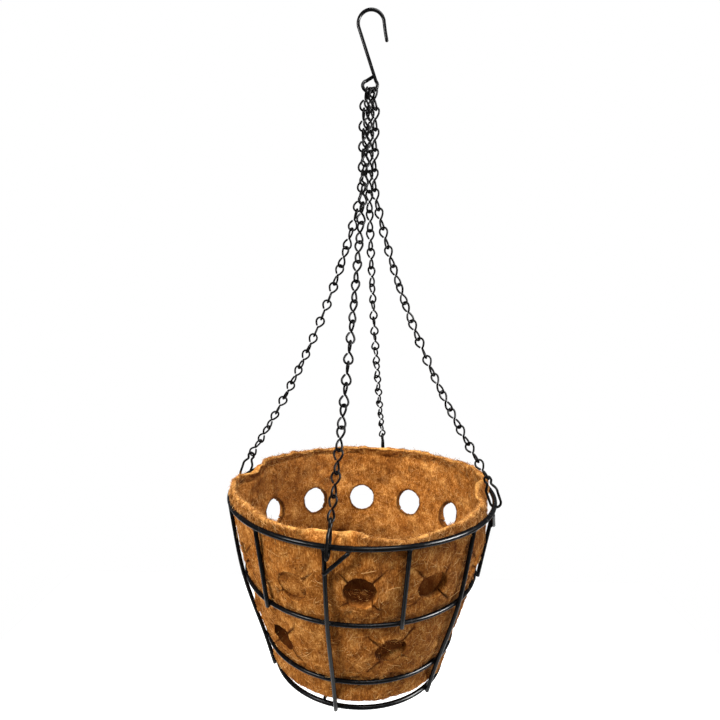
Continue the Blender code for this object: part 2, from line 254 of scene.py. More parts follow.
def add_wire(name: str, points: Sequence[Vector], radius: float, sides: int = 12,
             closed: bool = False) -> bpy.types.Object:
    """Return a round wire along points, with softly rounded ends where it is open.

    Args:
        name: the piece's name.
        points: the wire's centre line.
        radius: half of the wire's thickness.
        sides: the sides of its section, an even number.
        closed: whether the wire returns to its start.

    Returns:
        The wire as a mesh object at the origin.
    """
    line = [(point, 1.0) for point in points]
    if not closed:
        first, last = points[0], points[-1]
        into_first = (points[1] - first).normalized()
        into_last = (points[-2] - last).normalized()
        head = [(first + into_first * radius * depth, width) for depth, width in WIRE_END]
        foot = [(last + into_last * radius * depth, width) for depth, width in reversed(WIRE_END)]
        line = head + line[1:-1] + foot
    curve = bpy.data.curves.new(name, "CURVE")
    curve.dimensions = "3D"
    curve.bevel_depth = radius
    curve.bevel_resolution = (sides - 4) // 2
    curve.use_fill_caps = not closed
    curve.twist_mode = "MINIMUM"
    spline = curve.splines.new("POLY")
    spline.points.add(len(line) - 1)
    for slot, (point, width) in zip(spline.points, line):
        slot.co = (*point, 1.0)
        slot.radius = width
    spline.use_cyclic_u = closed
    wire = bpy.data.objects.new(name, curve)
    bpy.context.scene.collection.objects.link(wire)
    select_only(wire)
    bpy.ops.object.convert(target="MESH")
    wire = bpy.context.view_layer.objects.active
    with editing_whole():
        bpy.ops.mesh.remove_doubles(threshold=MERGE_DISTANCE)
        bpy.ops.mesh.normals_make_consistent(inside=False)
    bpy.ops.object.shade_smooth_by_angle(angle=SMOOTH_ANGLE)
    return wire


def add_bead(place: Vector, angle: float, size: Triple) -> bpy.types.Object:
    """Return one weld bead.

    Args:
        place: the bead's middle.
        angle: the angle that the bead faces.
        size: half of its size along the hoop, outwards and upwards.

    Returns:
        The bead's object, its place in its mesh.
    """
    bead = add_primitive(bpy.ops.mesh.primitive_uv_sphere_add, segments=12, ring_count=8, radius=1.0,
                         location=place, rotation=(0.0, 0.0, angle), scale=size)
    bpy.ops.object.transform_apply(location=True, rotation=True, scale=True)
    bpy.ops.object.shade_smooth()
    return bead


def dress(piece: bpy.types.Object, material: bpy.types.Material, body: Body, slot: Slot, *nodes: str) -> None:
    """Give a piece its finish and its body, and hide the solids that it stands for.

    Args:
        piece: the piece.
        material: its finish.
        body: the body that it moves with.
        slot: the record's slot for its material; not used.
        nodes: the solids that it replaces.
    """
    piece.data.materials.clear()
    piece.data.materials.append(material)
    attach(piece, body.value)
    if nodes:
        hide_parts(*nodes)
    LOG.info("%s: %d faces on %s", piece.name, len(piece.data.polygons), body.value)


# Finishes


def linear(colour: str) -> tuple[float, float, float, float]:
    """Return an sRGB hex colour as linear RGBA."""
    parts = [int(colour[at:at + 2], 16) / 255 for at in (1, 3, 5)]
    return (*[part / 12.92 if part <= 0.04045 else ((part + 0.055) / 1.055) ** 2.4 for part in parts], 1.0)


def add_node(tree: bpy.types.NodeTree, kind: str, inputs: dict[Any, Any], **settings: Any) -> bpy.types.Node:
    """Return a new node with its settings, values and links.

    Args:
        tree: the material's nodes.
        kind: the node's type.
        inputs: a value or an output socket for each named or numbered input.
        settings: the node's own options; stops is a colour ramp's list of place and colour.

    Returns:
        The node.
    """
    node = tree.nodes.new(kind)
    for key, value in settings.items():
        if key == "stops":
            for _ in range(len(value) - 2):
                node.color_ramp.elements.new(0.5)
            for element, (place, colour) in zip(node.color_ramp.elements, value):
                element.position = place
                element.color = colour
        else:
            setattr(node, key, value)
    for key, value in inputs.items():
        if isinstance(value, bpy.types.NodeSocket):
            tree.links.new(value, node.inputs[key])
        else:
            node.inputs[key].default_value = value
    return node


def add_noise(tree: bpy.types.NodeTree, place: bpy.types.NodeSocket, size: float, detail: float,
              roughness: float = 0.5, distortion: float = 0.0) -> bpy.types.NodeSocket:
    """Return the value of a new noise.

    Args:
        tree: the material's nodes.
        place: where the noise is read.
        size: the size of its spots.
        detail: the number of finer layers on it.
        roughness: the weight of those layers.
        distortion: how far the spots are bent.

    Returns:
        The noise's output.
    """
    inputs = {"Vector": place, "Scale": 1 / size, "Detail": detail, "Roughness": roughness,
              "Distortion": distortion}
    return add_node(tree, "ShaderNodeTexNoise", inputs).outputs["Fac"]


def new_material(name: str) -> tuple[bpy.types.Material, bpy.types.NodeTree, bpy.types.Node]:
    """Return a new material, its nodes and its shader.

    Args:
        name: the material's name.

    Returns:
        The material, its node tree and its shader node.
    """
    material = bpy.data.materials.new(name)
    material.use_nodes = True
    return material, material.node_tree, material.node_tree.nodes["Principled BSDF"]


@dataclass(frozen=True)
class CoatedWireFinish:
    """Steel wire dipped in black plastic: deep black, satin gloss, a faint orange peel and paler scuffs."""

    name: str
    colour: str = "#060607"
    scuff: str = "#1b1a19"
    roughness: float = 0.20
    smoother: float = 0.03
    rougher: float = 0.12
    gloss: float = 0.09
    peel: float = 1.6 * MM
    peel_depth: float = 0.12 * MM
    peel_strength: float = 0.2
    scuff_size: float = 9 * MM
    scuff_range: Pair = (0.56, 0.74)
    dull_range: Pair = (0.35, 0.7)

    def build(self) -> bpy.types.Material:
        """Make the finish's nodes.

        Returns:
            The material.
        """
        material, tree, shader = new_material(self.name)
        place = add_node(tree, "ShaderNodeTexCoord", {}).outputs["Object"]
        scuffs = add_noise(tree, place, self.scuff_size, 5.0, 0.7)
        stops = list(zip(self.scuff_range, (linear(self.colour), linear(self.scuff))))
        worn = add_node(tree, "ShaderNodeValToRGB", {"Fac": scuffs}, stops=stops)
        dull = add_node(tree, "ShaderNodeMapRange",
                        {"Value": scuffs, "From Min": self.dull_range[0], "From Max": self.dull_range[1],
                         "To Min": self.roughness - self.smoother, "To Max": self.roughness + self.rougher})
        peel = add_noise(tree, place, self.peel, 2.0)
        bump = add_node(tree, "ShaderNodeBump",
                        {"Height": peel, "Strength": self.peel_strength, "Distance": self.peel_depth})
        tree.links.new(worn.outputs["Color"], shader.inputs["Base Color"])
        tree.links.new(dull.outputs["Result"], shader.inputs["Roughness"])
        tree.links.new(bump.outputs["Normal"], shader.inputs["Normal"])
        shader.inputs["Specular IOR Level"].default_value = self.gloss
        return material


@dataclass(frozen=True)
class CoirFinish:
    """Matted coconut fibre bonded with latex: tangled dull strands, tan on brown, clumped and streaked, with
    painted shade and a painted light top edge taken from the mesh's marks.
    """

    name: str = "matted_coir"
    # Painted shade: this near-black brown is mixed in where shade falls: deep inside, in slits and cut holes,
    # beside the wires and on the lip's outer face
    damp: str = "#2c0d02"
    shade: str = "#5c310e"
    body: str = "#935822"
    light: str = "#d39a54"
    tone_places: Triple = (0.44, 0.54, 0.64)
    clump: float = 16 * MM
    speck: float = 2.6 * MM
    strand: float = 1.1 * MM
    strand_run: float = 9 * MM
    strand_bend: float = 0.7
    mat_tilts: Triple = (0.35, -0.75, 1.35)
    tilt_shares: Triple = (1.0, 0.6, 0.8)
    mat_depth: float = 1.2 * MM
    mat_strength: float = 0.9
    clump_share: float = 0.58
    uneven_share: float = 0.55
    # Painted light: how much paler the top edge is made where light from above falls on it; then how far the
    # painted shade's dark brown is mixed in
    painted_light_share: float = 0.07
    painted_shade_share: float = 0.94
    roughness: float = 0.92
    gloss: float = 0.02

    def build(self) -> bpy.types.Material:
        """Make the finish's nodes.

        Returns:
            The material.
        """
        material, tree, shader = new_material(self.name)
        place = add_node(tree, "ShaderNodeTexCoord", {}).outputs["Object"]
        layers = []
        for tilt in self.mat_tilts:
            turned = add_node(tree, "ShaderNodeMapping",
                              {"Vector": place, "Rotation": [tilt * share for share in self.tilt_shares],
                               "Scale": (1 / self.strand, 1 / self.strand, 1 / self.strand_run)})
            layers.append(add_noise(tree, turned.outputs["Vector"], 1.0, 3.0, distortion=self.strand_bend))
        crossed = add_node(tree, "ShaderNodeMath", {0: layers[0], 1: layers[1]}, operation="MAXIMUM")
        matted = add_node(tree, "ShaderNodeMath", {0: crossed.outputs[0], 1: layers[2]}, operation="MAXIMUM")
        specks = add_noise(tree, place, self.speck, 3.0, 0.65)
        clumps = add_noise(tree, place, self.clump, 4.0, 0.6)
        uneven = add_node(tree, "ShaderNodeMix", {"Factor": self.clump_share, "A": specks, "B": clumps})
        mixed = add_node(tree, "ShaderNodeMix", {"Factor": self.uneven_share, "A": matted.outputs[0],
                                                 "B": uneven.outputs["Result"]})
        # The mesh's marks: painted light on the top edge and painted shade where shade falls
        dry = add_node(tree, "ShaderNodeAttribute", {}, attribute_name="dry")
        damp = add_node(tree, "ShaderNodeAttribute", {}, attribute_name="damp")
        paler = add_node(tree, "ShaderNodeMath", {0: dry.outputs["Fac"], 1: self.painted_light_share,
                                                  2: mixed.outputs["Result"]}, operation="MULTIPLY_ADD")
        colours = (linear(self.shade), linear(self.body), linear(self.light))
        tone = add_node(tree, "ShaderNodeValToRGB", {"Fac": paler.outputs[0]},
                        stops=list(zip(self.tone_places, colours)))
        shade_weight = add_node(tree, "ShaderNodeMath", {0: damp.outputs["Fac"], 1: self.painted_shade_share},
                          operation="MULTIPLY")
        colour = add_node(tree, "ShaderNodeMix", {0: shade_weight.outputs[0], 6: tone.outputs["Color"],
                                                  7: linear(self.damp)}, data_type="RGBA")
        bump = add_node(tree, "ShaderNodeBump", {"Height": matted.outputs[0], "Strength": self.mat_strength,
                                                 "Distance": self.mat_depth})
        tree.links.new(colour.outputs[2], shader.inputs["Base Color"])
        tree.links.new(bump.outputs["Normal"], shader.inputs["Normal"])
        shader.inputs["Roughness"].default_value = self.roughness
        shader.inputs["Specular IOR Level"].default_value = self.gloss
        return material


@dataclass(frozen=True)
class StrandFinish:
    """Loose coconut strands: dry, dull hairs from dark brown to straw, each of its own tone."""

    name: str = "coir_strand"
    dark: str = "#4d260b"
    middle: str = "#a5682d"
    pale: str = "#e0b070"
    roughness: float = 0.75
    gloss: float = 0.02

    def build(self) -> bpy.types.Material:
        """Make the finish's nodes.

        Returns:
            The material.
        """
        material, tree, shader = new_material(self.name)
        tone = add_node(tree, "ShaderNodeAttribute", {}, attribute_name="tone")
        stops = [(0.0, linear(self.dark)), (0.5, linear(self.middle)), (1.0, linear(self.pale))]
        colour = add_node(tree, "ShaderNodeValToRGB", {"Fac": tone.outputs["Fac"]}, stops=stops)
        tree.links.new(colour.outputs["Color"], shader.inputs["Base Color"])
        shader.inputs["Roughness"].default_value = self.roughness
        shader.inputs["Specular IOR Level"].default_value = self.gloss
        return material


# The hook


@dataclass
class Hook:
    """The hook, bent from one wire from its tip over the bend to the eye and its tail; angles in degrees."""

    wire: float = 0.0042
    bend_radius: float = 0.0139
    bend_from: float = 4.0
    bend_turn: float = 188.0
    bend_steps: int = 14
    tip_drop: float = 0.021
    tip_flare: float = 0.004
    eye_drop: float = 0.086
    eye_half_width: float = 0.0092
    eye_half_height: float = 0.0079
    eye_from: float = 38.0
    eye_turn: float = 280.0
    eye_steps: int = 18
    tail_from: int = 13
    tail_offset: float = 0.0047
    tail_back: float = 0.002
    tail_rise: float = 0.008
    sides: int = 16

    def eye_height(self, x: float) -> float:
        """Return the height of the eye's wire at a place along its bottom."""
        return -self.eye_drop - self.eye_half_height * math.sqrt(1.0 - (x / self.eye_half_width) ** 2)

    def bend_path(self) -> list[Vector]:
        """Lay the wire from the tip over the bend to the shank.

        Returns:
            The centre line's points.
        """
        reach = self.bend_radius + self.wire / 2
        top = self.wire / 2 - reach
        path = [Vector((reach + self.tip_flare, 0.0, top - self.tip_drop)),
                Vector((reach + self.tip_flare * 0.4, 0.0, top - self.tip_drop * 0.45))]
        for step in range(self.bend_steps + 1):
            angle = math.radians(self.bend_from + self.bend_turn * step / self.bend_steps)
            path.append(Vector((reach * math.cos(angle), 0.0, top + reach * math.sin(angle))))
        return path

    def eye_path(self) -> list[Vector]:
        """Lay the wire from the shank round the eye to the tail.

        Returns:
            The centre line's points.
        """
        path = []
        for step in range(self.eye_steps + 1):
            angle = math.radians(self.eye_from - self.eye_turn * step / self.eye_steps)
            tail = max(0.0, (step - self.tail_from) / (self.eye_steps - self.tail_from))
            path.append(Vector((self.eye_half_width * math.cos(angle), self.tail_offset * tail,
                                self.eye_half_height * math.sin(angle) - self.eye_drop)))
        path.append(Vector((path[0].x - self.tail_back, self.tail_offset, path[0].z + self.tail_rise)))
        return path

    def build(self, finish: bpy.types.Material) -> None:
        """Make the hook's round wire.

        Args:
            finish: the wire's finish.
        """
        bend, eye = self.bend_path(), self.eye_path()
        points = smooth_path(bend, 3) + [bend[-1].lerp(eye[0], 0.5)] + smooth_path(eye, 3)
        piece = add_wire("hook_wire", points, self.wire / 2, self.sides)
        dress(piece, finish, Body.HOOK, Slot.COATED, "hook")


# The chains and their clips


@dataclass(frozen=True)
class Hanger:
    """One chain: its name, the upright beside it, the side of that upright and its place on the eye."""

    name: str
    upright: int
    side: int
    place: float

    def angle(self) -> float:
        """Return the chain's angle, beside its upright."""
        return upright_angle(self.upright) + self.side * CLIP_OFFSET / RIM_RADIUS


HANGERS = (Hanger("left", 9, -1, -1.5), Hanger("front", 0, 1, -0.5),
           Hanger("back", 6, 1, 0.5), Hanger("right", 3, -1, 1.5))


@dataclass
class Suspension:
    """The four jack chains of figure-eight links, and the wire clips that hold the rim."""

    hook: Hook
    links: int = 21
    segments: int = 7
    link_wire: float = 0.0026
    link_pitch: float = 0.0247
    link_half_width: float = 0.0052
    link_spare: float = 0.0001
    link_sides: int = 8
    # One side of a link's loop, in shares of its half width and half length
    loop_side: tuple[Pair, ...] = ((0.34, 0.10), (0.80, 0.36), (1.00, 0.60), (0.86, 0.83), (0.47, 0.97))
    first_roll: float = math.radians(38)
    roll_wave: float = math.radians(28)
    bunched_links: int = 6
    section: float = 0.00112
    bite: float = 0.0017
    shift: float = 0.0004
    eye_step: float = 0.0028
    bunch_radius: float = 0.0076
    bunch_lowest: float = 0.2
    entry_slope: float = 0.22
    route_steps: int = 120
    fit_rounds: int = 40
    clip_wire: float = 0.0032
    clip_sides: int = 10
    clip_bend: float = 0.0067
    clip_bend_steps: int = 8
    clip_leg: float = 0.017
    clip_neck_half: float = 0.0026
    clip_neck_height: float = 0.0245
    clip_eye_half: float = 0.0042
    clip_eye_round: float = 0.0008
    clip_height: float = 0.0343
    clip_lean: float = math.radians(21)
    rim_side: float = -0.0016
    rim_seat: float = -0.0021
    front_slack: float = 0.008

    def slack(self, hanger: Hanger) -> float:
        """Return how far a clip hangs below its seat under the rim."""
        return self.front_slack if hanger.name == "front" else 0.0

    def clip_point(self, hanger: Hanger, across: float, along: float) -> Vector:
        """Return a point of a clip from its bend's centre.

        Args:
            hanger: the chain that holds the clip.
            across: the distance to the outside.
            along: the distance towards the clip's eye.

        Returns:
            The point.
        """
        side = across - self.rim_side
        up = along - self.rim_seat - self.slack(hanger)
        outside = side * math.cos(self.clip_lean) - up * math.sin(self.clip_lean)
        height = side * math.sin(self.clip_lean) + up * math.cos(self.clip_lean)
        return polar(RIM_RADIUS + outside, hanger.angle(), RIM_Z + height)

    def clip_outline(self) -> list[Pair]:
        """Lay out the clip's closed wire.

        Returns:
            The outline's points as across and along pairs.
        """
        outline = []
        for step in range(self.clip_bend_steps + 1):
            angle = math.pi + math.pi * step / self.clip_bend_steps
            outline.append((self.clip_bend * math.cos(angle), self.clip_bend * math.sin(angle)))
        middle = (self.clip_neck_height + self.clip_height) / 2
        right = [(self.clip_bend, self.clip_leg * 0.5), (self.clip_bend, self.clip_leg),
                 (self.clip_neck_half, self.clip_neck_height), (self.clip_eye_half, middle),
                 (self.clip_eye_half * 0.7, self.clip_height - self.clip_eye_round)]
        outline += right + [(0.0, self.clip_height)] + [(-across, along) for across, along in reversed(right)]
        return outline

    def route(self, hanger: Hanger, bunch_end: float) -> list[Vector]:
        """Return a chain's route from the eye, down the bunch and out along a slack curve to its clip.

        Args:
            hanger: the chain.
            bunch_end: the height at which it leaves the bunch.

        Returns:
            The route's points.
        """
        angle = hanger.angle()
        overlap = self.bite / 2 + self.shift
        eye_x = hanger.place * self.eye_step
        hang = Vector((eye_x, 0.0, self.hook.eye_height(eye_x)))
        second = polar(self.bunch_radius, angle, hang.z - self.link_pitch + self.hook.wire / 2)
        seat = self.hook.wire / 2 + self.section + SEAT_GAP * 3 - overlap
        start = hang + (hang - second).normalized() * seat
        eye_top = self.clip_point(hanger, 0.0, self.clip_height)
        reach = eye_top.dot(radial(angle)) - self.bunch_radius
        steepness = 2 * reach / (bunch_end - eye_top.z) - self.entry_slope
        rise = (Vector((0.0, 0.0, 1.0)) - radial(angle) * steepness).normalized()
        foot = eye_top - rise * (self.clip_wire / 2 + self.section + SEAT_GAP * 2 - overlap)
        fall = bunch_end - foot.z
        curve = (foot.dot(radial(angle)) - self.bunch_radius - self.entry_slope * fall) / fall ** 2
        route = [start, second]
        for step in range(self.route_steps + 1):
            drop = fall * step / self.route_steps
            spread = self.entry_slope * drop + curve * drop ** 2
            route.append(polar(self.bunch_radius + spread, angle, bunch_end - drop))
        return route

    def joints(self, hanger: Hanger) -> list[Vector]:
        """Return the places where a chain's links meet, on the route that is as long as the links.

        Args:
            hanger: the chain.

        Returns:
            The places from the eye to the clip.
        """
        low, high = RIM_Z + self.bunch_lowest, EYE_Z - self.link_pitch * 1.5
        route: list[Vector] = []
        length = 0.0
        for _ in range(self.fit_rounds):
            middle = (low + high) / 2
            route = self.route(hanger, middle)
            length = sum((b - a).length for a, b in zip(route, route[1:]))
            if length < self.links * self.link_pitch:
                high = middle
            else:
                low = middle
        places = []
        for index in range(self.links + 1):
            left = length * index / self.links
            place = route[-1]
            for a, b in zip(route, route[1:]):
                span = (b - a).length
                if left <= span:
                    place = a.lerp(b, left / span)
                    break
                left -= span
            places.append(place)
        return places

    def link(self) -> bpy.types.Object:
        """Make one link about the origin, its upper loop across X and its lower loop across Y.

        Returns:
            The link.
        """
        half = (self.link_pitch + self.link_wire - self.link_spare) / 2
        wide = self.link_half_width
        other_side = [(-across, along) for across, along in reversed(self.loop_side)]
        loop = [*self.loop_side, (0.0, 1.0), *other_side]
        points = [Vector((across * wide, 0.0, along * half)) for across, along in loop]
        points.append(Vector((0.0, 0.0, 0.0)))
        points += [Vector((0.0, across * wide, -along * half)) for across, along in reversed(loop)]
        return add_wire("link", smooth_path(points, 3), self.link_wire / 2, self.link_sides)

    def roll(self, hanger: Hanger, index: int) -> float:
        """Return a link's turn about its own length.

        Args:
            hanger: the chain.
            index: the link's place on it.

        Returns:
            The turn.
        """
        run = max(0.0, (index - self.bunched_links) / (self.links - self.bunched_links - 1))
        quarter = math.pi / 2 * run if hanger.name in ("left", "right") else 0.0
        return self.first_roll + quarter + self.roll_wave * math.sin(run * math.pi * 3 + hanger.place)

    def build_chain(self, hanger: Hanger, pattern: bpy.types.Object) -> bpy.types.Object:
        """Return one chain of links that hang in each other.

        Args:
            hanger: the chain.
            pattern: the link that is copied.

        Returns:
            The chain as one piece.
        """
        joints = self.joints(hanger)
        across = Vector((0.0, 1.0, 0.0))
        links = []
        for index, (top, bottom) in enumerate(zip(joints, joints[1:])):
            along = (top - bottom).normalized()
            side = (across - along * across.dot(along)).normalized()
            turn = Matrix((side, along.cross(side), along)).transposed().to_4x4()
            copy = pattern.copy()
            copy.data = pattern.data.copy()
            bpy.context.scene.collection.objects.link(copy)
            copy.data.transform(Matrix.Translation((top + bottom) / 2) @ turn
                                @ Matrix.Rotation(self.roll(hanger, index), 4, "Z"))
            links.append(copy)
        return join_pieces(links, f"chain_{hanger.name}_links")

    def build(self, finish: bpy.types.Material) -> None:
        """Make the chains and the clips.

        Args:
            finish: the chain wire's finish.
        """
        pattern = self.link()
        for hanger in HANGERS:
            chain = self.build_chain(hanger, pattern)
            nodes = [f"chain_{hanger.name}_{number + 1}" for number in range(self.segments)]
            dress(chain, finish, Body.SUSPENSION, Slot.CHAIN, *nodes)
            outline = [self.clip_point(hanger, across, along) for across, along in self.clip_outline()]
            clip = add_wire(f"clip_{hanger.name}_wire", smooth_path(outline, 3, True), self.clip_wire / 2,
                            self.clip_sides, True)
            dress(clip, finish, Body.SUSPENSION, Slot.CHAIN, f"clip_{hanger.name}")
        bpy.data.objects.remove(pattern, do_unlink=True)


# The welded frame


@dataclass(frozen=True)
class Hoop:
    """One hoop: its node, its radius, its height from the rim and its wire."""

    node: str
    radius: float
    height: float
    wire: float


RIM = Hoop("rim", RIM_RADIUS, 0.0, RIM_WIRE)
UPPER_HOOP = Hoop("upper_hoop", 0.1535, -0.0987, 0.0045)
LOWER_HOOP = Hoop("lower_hoop", 0.1260, -0.1870, 0.0045)
BASE_RING = Hoop("base_ring", 0.1137, -0.2290, 0.0050)
HOOPS = (UPPER_HOOP, LOWER_HOOP, BASE_RING)
LINER_HOOPS = (RIM, UPPER_HOOP, LOWER_HOOP)


@dataclass
class WireFrame:
    """The welded frame: hoops, long and short uprights, braces under the rim and the base cross."""

    upright_wire: float = 0.0045
    upright_sides: int = 14
    short_steps: int = 8
    rim_bite: float = 0.3
    tail: float = 0.004
    brace_wire: float = 0.0040
    brace_drop: float = 0.031
    brace_run: float = 0.027
    brace_steps: int = 6
    thin_sides: int = 12
    cross_angle: float = math.radians(-21)
    cross_steps: int = 16
    seam_angle: float = math.radians(158)
    seam_reach: float = 0.95
    seam_swell: float = 0.0005
    rim_bead: Triple = (0.0040, 0.0026, 0.0016)
    rim_bead_drop: float = 0.46
    hoop_bead: Triple = (0.0031, 0.0013, 0.0030)
    brace_foot_bead: Triple = (0.0027, 0.0012, 0.0027)
    brace_head_bead: Triple = (0.0034, 0.0022, 0.0015)
    brace_head_share: float = 0.4
    cross_bead: Triple = (0.0024, 0.0024, 0.0011)

    def add_hoop(self, hoop: Hoop) -> bpy.types.Object:
        """Return one hoop, swollen where its wire's ends are butted together.

        Args:
            hoop: the hoop.

        Returns:
            The hoop's piece.
        """
        ring = add_primitive(bpy.ops.mesh.primitive_torus_add, major_segments=192, minor_segments=16,
                             major_radius=hoop.radius, minor_radius=hoop.wire / 2 + COAT,
                             location=(0.0, 0.0, RIM_Z + hoop.height))
        bpy.ops.object.transform_apply(location=True, rotation=True, scale=True)
        ring.name = f"{hoop.node}_wire"
        seam = radial(self.seam_angle) * hoop.radius
        with editing_whole():
            bpy.ops.mesh.select_all(action="DESELECT")
            edit = bmesh.from_edit_mesh(ring.data)
            for vert in edit.verts:
                away = (Vector((vert.co.x, vert.co.y, 0.0)) - seam).length
                vert.select_set(away < hoop.wire * self.seam_reach)
            edit.select_flush(True)
            bmesh.update_edit_mesh(ring.data)
            bpy.ops.transform.shrink_fatten(value=self.seam_swell)
        bpy.ops.object.shade_smooth()
        return ring

    def stations(self) -> list[Pair]:
        """Find where an upright's centre line passes under the rim and at each hoop.

        Returns:
            The places as radius and height pairs.
        """
        places = [(RIM_RADIUS, RIM_Z - RIM_WIRE / 2 - SEAT_GAP)]
        for hoop in HOOPS:
            radius = hoop.radius + hoop.wire / 2 + self.upright_wire / 2 + SEAT_GAP
            places.append((radius, RIM_Z + hoop.height))
        return places

    def upright_path(self, angle: float, is_long: bool) -> list[Vector]:
        """Return one upright's path from the rim's underside to its tail under its last hoop.

        Args:
            angle: the upright's angle.
            is_long: whether it runs down to the base ring.

        Returns:
            The path's points.
        """
        points = [polar(radius, angle, z) for radius, z in self.stations()]
        path = smooth_path(points, 6) if is_long else points[:2]
        path[-1] = path[-1] + (path[-1] - path[-2]).normalized() * self.tail
        return path

    def add_upright(self, index: int) -> bpy.types.Object:
        """Return one upright with its weld beads.

        Args:
            index: the upright's place round the rim.

        Returns:
            The upright's piece.
        """
        angle = upright_angle(index)
        is_long = index % 2 == 0
        name = f"upright_{'long' if is_long else 'short'}_{index // 2 + 1}_wire"
        path = self.upright_path(angle, is_long)
        if not is_long:
            path = straight_path(path[0], path[1], self.short_steps)
        path[0] = path[0] + Vector((0.0, 0.0, RIM_WIRE * self.rim_bite))
        pieces = [add_wire(name, path, self.upright_wire / 2 + COAT, self.upright_sides)]
        under_rim = polar(RIM_RADIUS, angle, RIM_Z - RIM_WIRE * self.rim_bead_drop)
        pieces.append(add_bead(under_rim, angle, self.rim_bead))
        for hoop in HOOPS if is_long else HOOPS[:1]:
            touch = hoop.radius + hoop.wire / 2
            pieces.append(add_bead(polar(touch, angle, RIM_Z + hoop.height), angle, self.hoop_bead))
        return join_pieces(pieces, name)

    def add_brace(self, hanger: Hanger) -> bpy.types.Object:
        """Return the brace beside one chain, from its upright up to the rim's underside.

        Args:
            hanger: the chain.

        Returns:
            The brace's piece.
        """
        angle = upright_angle(hanger.upright)
        top, below = self.upright_path(angle, hanger.upright % 2 == 0)[:2]
        beside = top.lerp(below, (top.z - RIM_Z + self.brace_drop) / (top.z - below.z))
        low = beside + radial(angle) * ((self.upright_wire + self.brace_wire) / 2 + SEAT_GAP * 2)
        high_angle = angle + hanger.side * self.brace_run / RIM_RADIUS
        high = polar(RIM_RADIUS, high_angle, RIM_Z - RIM_WIRE / 2 - self.brace_wire / 2 + SEAT_GAP)
        path = straight_path(low, high, self.brace_steps)
        name = f"brace_{hanger.name}_wire"
        pieces = [add_wire(name, path, self.brace_wire / 2 + COAT, self.thin_sides)]
        pieces.append(add_bead(low.lerp(beside, 0.5), angle, self.brace_foot_bead))
        head = high.lerp(polar(RIM_RADIUS, high_angle, RIM_Z), self.brace_head_share)
        pieces.append(add_bead(head, high_angle, self.brace_head_bead))
        return join_pieces(pieces, name)

    def add_cross(self, number: int) -> bpy.types.Object:
        """Return one wire of the base cross, the second bowed over the first.

        Args:
            number: 0 for the first wire and 1 for the second.

        Returns:
            The wire's piece.
        """
        angle = self.cross_angle + number * math.pi / 2
        rest = RIM_Z + BASE_RING.height + (BASE_RING.wire + CROSS_WIRE) / 2 + SEAT_GAP
        bow = number * (CROSS_WIRE + SEAT_GAP)
        path = []
        for step in range(2 * self.cross_steps + 1):
            run = step / self.cross_steps - 1
            lift = bow * math.cos(run * math.pi / 2) ** 2
            path.append(radial(angle) * (BASE_RING.radius * run) + Vector((0.0, 0.0, rest + lift)))
        name = f"base_cross_{number + 1}_wire"
        pieces = [add_wire(name, path, CROSS_WIRE / 2 + COAT, self.thin_sides)]
        for end in (path[0], path[-1]):
            pieces.append(add_bead(end - Vector((0.0, 0.0, CROSS_WIRE / 2)), angle, self.cross_bead))
        return join_pieces(pieces, name)

    def build(self, finish: bpy.types.Material) -> None:
        """Make every wire of the frame.

        Args:
            finish: the coated wire's finish.
        """
        for hoop in (RIM, *HOOPS):
            dress(self.add_hoop(hoop), finish, Body.BASKET, Slot.COATED, hoop.node)
        for index in range(UPRIGHT_COUNT):
            upright = self.add_upright(index)
            dress(upright, finish, Body.BASKET, Slot.COATED, upright.name.removesuffix("_wire"))
        for hanger in HANGERS:
            dress(self.add_brace(hanger), finish, Body.BASKET, Slot.COATED, f"brace_{hanger.name}")
        for number in range(2):
            dress(self.add_cross(number), finish, Body.BASKET, Slot.COATED, f"base_cross_{number + 1}")


# The coir liner


@dataclass(frozen=True)
class Unevenness:
    """An uneven surface as a sum of random waves: their seed, longest and shortest length and usual depth."""

    seed: int
    longest: float
    shortest: float
    depth: float
    count: int = 36
    mean_radius: float = 0.15
    fall: float = 0.6

    def offsets(self, angle: np.ndarray, height: np.ndarray) -> np.ndarray:
        """Return the offsets of places, which close round the basket.

        Args:
            angle: the places' angles.
            height: their heights.

        Returns:
            The offsets.
        """
        rng = np.random.default_rng(self.seed)
        total = np.zeros(np.broadcast(angle, height).shape)
        weight = 0.0
        for _ in range(self.count):
            length = self.longest * (self.shortest / self.longest) ** rng.random()
            heading = rng.random() * 2 * math.pi
            turns = round(2 * math.pi * self.mean_radius * math.cos(heading) / length)
            strength = (length / self.longest) ** self.fall
            total += strength * np.sin(turns * angle + 2 * math.pi * math.sin(heading) / length * height
                                       + rng.random() * 2 * math.pi)
            weight += strength ** 2 / 2
        return total * self.depth / math.sqrt(weight)


@dataclass(frozen=True)
class CoirTones:
    """Painted shade on the coir deep inside, at its slits and cut holes, beside the wires and on the lip's
    outer face, where that fades, where the top edge's painted light starts, and where no strands lie.
    """

    # Painted shade deep inside, darker towards the bottom, standing in for the shadow in the basket
    deep: float = 0.95
    deep_heights: Pair = (-0.175, -0.085)
    deep_inside: Pair = (0.2, 0.7)
    # Painted shade in the slits and at the holes' inner rims
    slit: float = 0.7
    slit_fade: Pair = (0.0014, 0.0026)
    cut_rim: float = 0.85
    cut_rim_fade: Pair = (0.001, 0.003)
    cut_rim_inside: Pair = (0.1, 0.6)
    cut_face: float = 0.0013
    # Painted shadow beside the hoops and uprights and painted shade on the lip's outer face, both on the
    # outside only
    wire: float = 0.36
    wire_fade: Pair = (0.0025, 0.0085)
    lip: float = 0.46
    lip_heights: Pair = (-0.002, 0.003)
    shade_outside_fade: Pair = (0.2, 0.6)
    # Where the top edge's painted light starts, as a share of the edge's height
    painted_light_from: float = 0.70
    bare: float = 0.94
    bare_fade: Pair = (0.002, 0.005)
    pressed: Pair = (0.3, 0.8)
    pressed_heights: Pair = (-0.03, -0.02)


